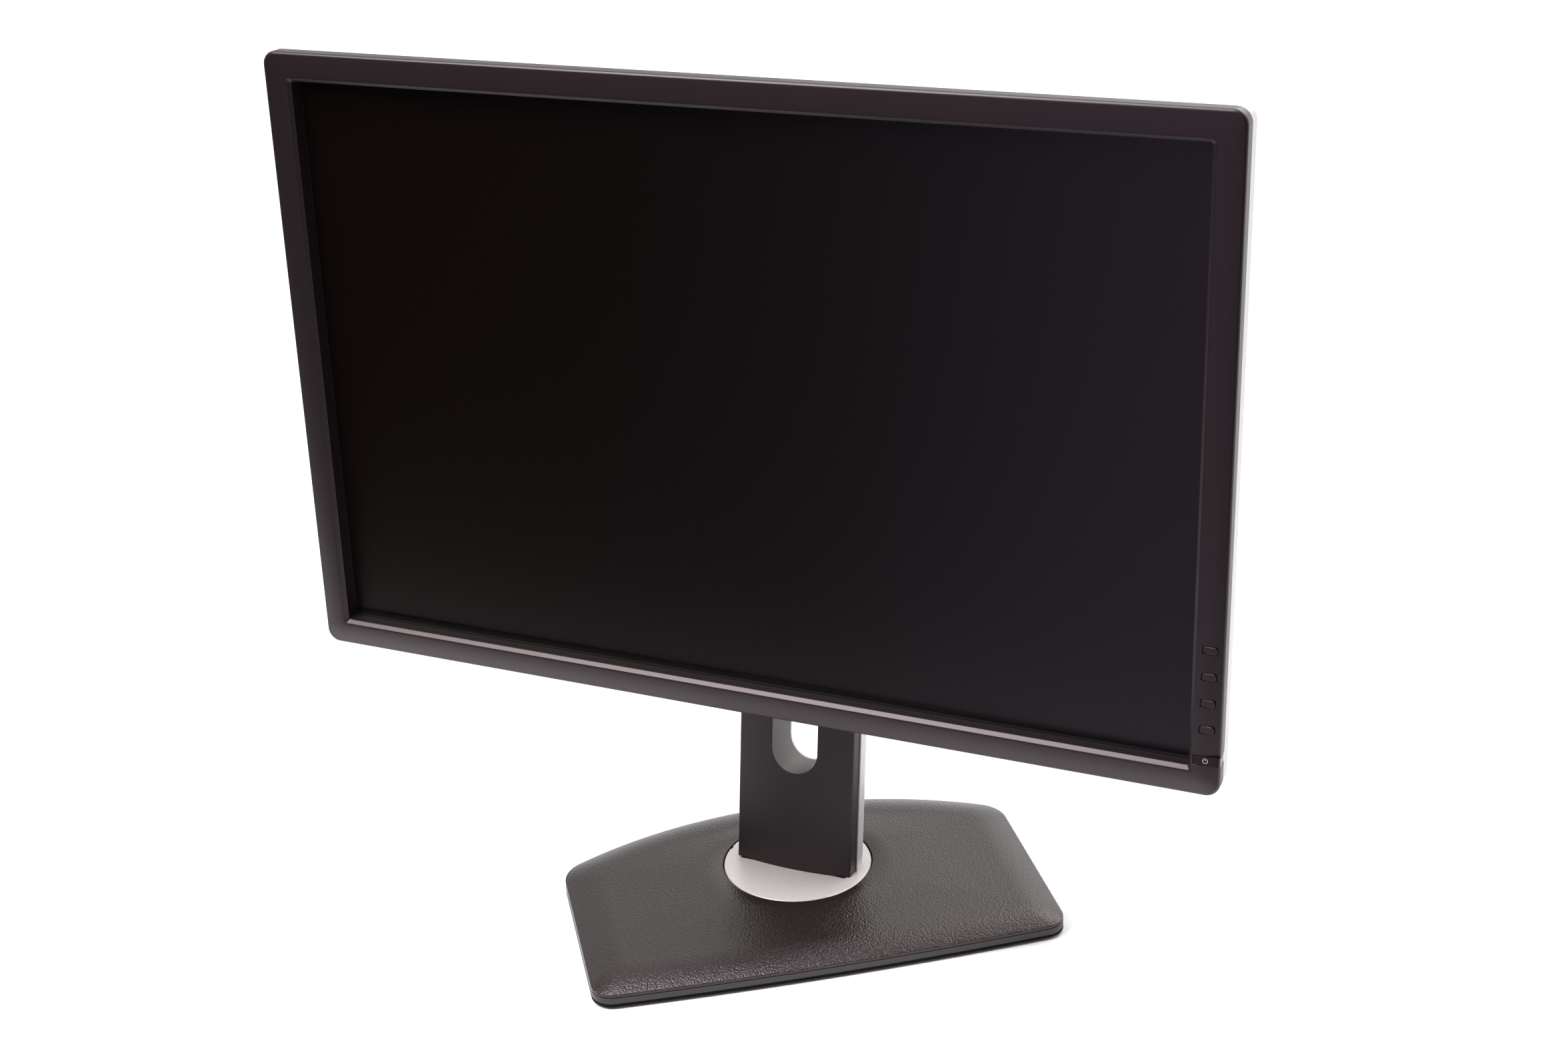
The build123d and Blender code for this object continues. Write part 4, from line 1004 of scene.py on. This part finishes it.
class MONITOR_OT_case_screws(bpy.types.Operator):
    """Adds the six case screws on the back: domed heads with a cross recess, on plain shanks"""

    bl_idname = "monitor.case_screws"
    bl_label = "Case screws"

    def execute(self, context):
        settings = context.scene.monitor_screws
        low, high = local_box("case_screws", HEAD)
        across = high.x - settings.head_radius
        upward = (high.y - low.y) / 2 - settings.head_radius
        middle_y = (high.y + low.y) / 2
        places = [(x, middle_y + y) for x in (-across, across) for y in (-upward, 0.0, upward)]
        steps = 24
        angles = [2 * math.pi * step / steps for step in range(steps)]
        form = bmesh.new()
        for x, y in places:
            rings = [
                [Vector((x + radius * math.cos(a), y + radius * math.sin(a), depth)) for a in angles]
                for radius, depth in screw_section(settings, low.z, high.z)
            ]
            loops = join_rings(form, rings, close=False)
            form.faces.new(loops[0])
            form.faces.new(loops[-1])
        replaced = ["case_screws"]
        piece = add_piece("screws", form, HEAD, "head", "black_screw", replaced)
        cutters = [
            slot_cutter(f"cross_{number}", (x, y, low.z), turn, settings)
            for number, (x, y) in enumerate(places)
            for turn in (math.pi / 4, -math.pi / 4)
        ]
        cut_away(piece, cutters)
        return {"FINISHED"}


class MONITOR_OT_stage(bpy.types.Operator):
    """Adds the floor, the lights and the camera"""

    bl_idname = "monitor.stage"
    bl_label = "Stage"

    def execute(self, context):
        add_camera(context.scene.monitor_stage)
        add_floor()
        add_world()
        for softbox in SOFTBOXES:
            add_softbox(*softbox)
        context.scene.view_settings.view_transform = "Standard"
        return {"FINISHED"}


def add_camera(settings):
    """The camera, aimed by its forward and upward directions."""
    data = bpy.data.cameras.new("camera")
    data.sensor_width = 36.0
    data.lens = settings.lens
    camera = bpy.data.objects.new("camera", data)
    forward = Vector(settings.camera_forward).normalized()
    right = forward.cross(Vector(settings.camera_up)).normalized()
    turned = Matrix((right, right.cross(forward), -forward)).transposed().to_4x4()
    camera.matrix_world = Matrix.Translation(Vector(settings.camera_at)) @ turned
    bpy.context.scene.collection.objects.link(camera)
    bpy.context.scene.camera = camera


def add_floor():
    """A plain white floor under and behind the monitor; it ends short of the screen's reflection."""
    form = bmesh.new()
    half, front, back = FLOOR_HALF, FLOOR_FRONT, FLOOR_BACK
    corners = [(-half, front), (half, front), (half, back), (-half, back)]
    form.faces.new([form.verts.new((x, y, 0.0)) for x, y in corners])
    mesh = bpy.data.meshes.new("floor")
    form.to_mesh(mesh)
    form.free()
    material, tree, shader, place = new_material("matt_white_laminate", IOR=1.45, Roughness=0.8)
    inputs = {"Vector": place, "Scale": 3.0, "Detail": 2.0}
    mottle = add_node(tree, "ShaderNodeTexNoise", inputs).outputs["Fac"]
    paint(tree, shader, mottle, linear_colour("#f6f6f6"), linear_colour("#fafafa"))
    mesh.materials.append(material)
    floor = bpy.data.objects.new("floor", mesh)
    bpy.context.scene.collection.objects.link(floor)


def smooth_range(tree, value, low, high, dark, bright):
    """A soft step from a dark to a bright level as a value rises through a range."""
    inputs = {"Value": value, "From Min": low, "From Max": high, "To Min": dark, "To Max": bright}
    step = add_node(tree, "ShaderNodeMapRange", inputs, interpolation_type="SMOOTHSTEP")
    return step.outputs["Result"]


def add_world():
    """A white surround to the eye; its light is bright behind, dim in front, dimmest at front left."""
    world = bpy.data.worlds.new("studio")
    world.use_nodes = True
    tree = world.node_tree
    direction = add_node(tree, "ShaderNodeTexCoord").outputs["Generated"]
    parts = add_node(tree, "ShaderNodeSeparateXYZ", {"Vector": direction}).outputs
    across = add_node(tree, "ShaderNodeMapRange", {"Value": parts["X"], "From Min": -1.0})
    front = add_node(tree, "ShaderNodeValToRGB", {"Fac": across.outputs["Result"]})
    front.color_ramp.interpolation = "EASE"
    stops = front.color_ramp.elements
    for index, (position, code) in enumerate(FRONT_STOPS):
        stop = stops[index] if index < 2 else stops.new(position)
        stop.position, stop.color = position, linear_colour(code)
    backness = smooth_range(tree, parts["Y"], -0.5, 0.5, 0.0, 1.0)
    back = smooth_range(tree, parts["X"], -0.5, -0.25, *BACK_LEVELS)
    inputs = {"Factor": backness, "A": front.outputs["Color"], "B": back}
    surround = add_node(tree, "ShaderNodeMix", inputs, data_type="RGBA")
    seen = add_node(tree, "ShaderNodeLightPath").outputs["Is Camera Ray"]
    white = (SEEN_LEVEL, SEEN_LEVEL, SEEN_LEVEL, 1.0)
    inputs = {"Factor": seen, "A": surround.outputs["Result"], "B": white}
    shown = add_node(tree, "ShaderNodeMix", inputs, data_type="RGBA")
    tree.links.new(shown.outputs["Result"], tree.nodes["Background"].inputs["Color"])
    bpy.context.scene.world = world


def add_softbox(name, place, target, size, power, colour):
    """A rectangular area light aimed at a point."""
    data = bpy.data.lights.new(name, "AREA")
    data.shape = "RECTANGLE"
    data.size, data.size_y = size
    data.energy = power
    data.color = linear_colour(colour)[:3]
    light = bpy.data.objects.new(name, data)
    aim = Vector(target) - Vector(place)
    turned = aim.to_track_quat("-Z", "Y").to_matrix().to_4x4()
    light.matrix_world = Matrix.Translation(Vector(place)) @ turned
    bpy.context.scene.collection.objects.link(light)


class MONITOR_PT_kit(bpy.types.Panel):
    """Lists the monitor's pieces in the sidebar"""

    bl_idname = "MONITOR_PT_kit"
    bl_label = "Desktop Monitor Kit"
    bl_space_type = "VIEW_3D"
    bl_region_type = "UI"
    bl_category = "Monitor"

    def draw(self, context):
        for operator in OPERATORS:
            self.layout.operator(operator.bl_idname)
        for group in SETTINGS:
            settings = getattr(context.scene, group)
            for name in settings.__annotations__:
                self.layout.prop(settings, name)


OPERATORS = (
    MONITOR_OT_finishes,
    MONITOR_OT_bezel,
    MONITOR_OT_foot_cover,
    MONITOR_OT_painted_shadow_strip,
    MONITOR_OT_hole_liner,
    MONITOR_OT_case_screws,
    MONITOR_OT_stage,
)
SETTINGS = {
    "monitor_colours": MonitorColours,
    "monitor_bezel": MonitorBezelSettings,
    "monitor_foot": MonitorFootSettings,
    "monitor_liner": MonitorLinerSettings,
    "monitor_screws": MonitorScrewSettings,
    "monitor_stage": MonitorStageSettings,
}


def register():
    """Registers the settings, the operators and the panel."""
    for attribute, group in SETTINGS.items():
        bpy.utils.register_class(group)
        setattr(bpy.types.Scene, attribute, bpy.props.PointerProperty(type=group))
    for kind in (*OPERATORS, MONITOR_PT_kit):
        bpy.utils.register_class(kind)


def unregister():
    """Takes everything out again, in the opposite order."""
    for kind in (MONITOR_PT_kit, *reversed(OPERATORS)):
        bpy.utils.unregister_class(kind)
    for attribute, group in SETTINGS.items():
        delattr(bpy.types.Scene, attribute)
        bpy.utils.unregister_class(group)


def main():
    """Builds the whole monitor."""
    register()
    bpy.ops.monitor.finishes()
    bpy.ops.monitor.bezel()
    bpy.ops.monitor.foot_cover()
    bpy.ops.monitor.foot_edging()
    bpy.ops.monitor.hole_liner()
    bpy.ops.monitor.case_screws()
    bpy.ops.monitor.stage()


if __name__ == "__main__":
    main()
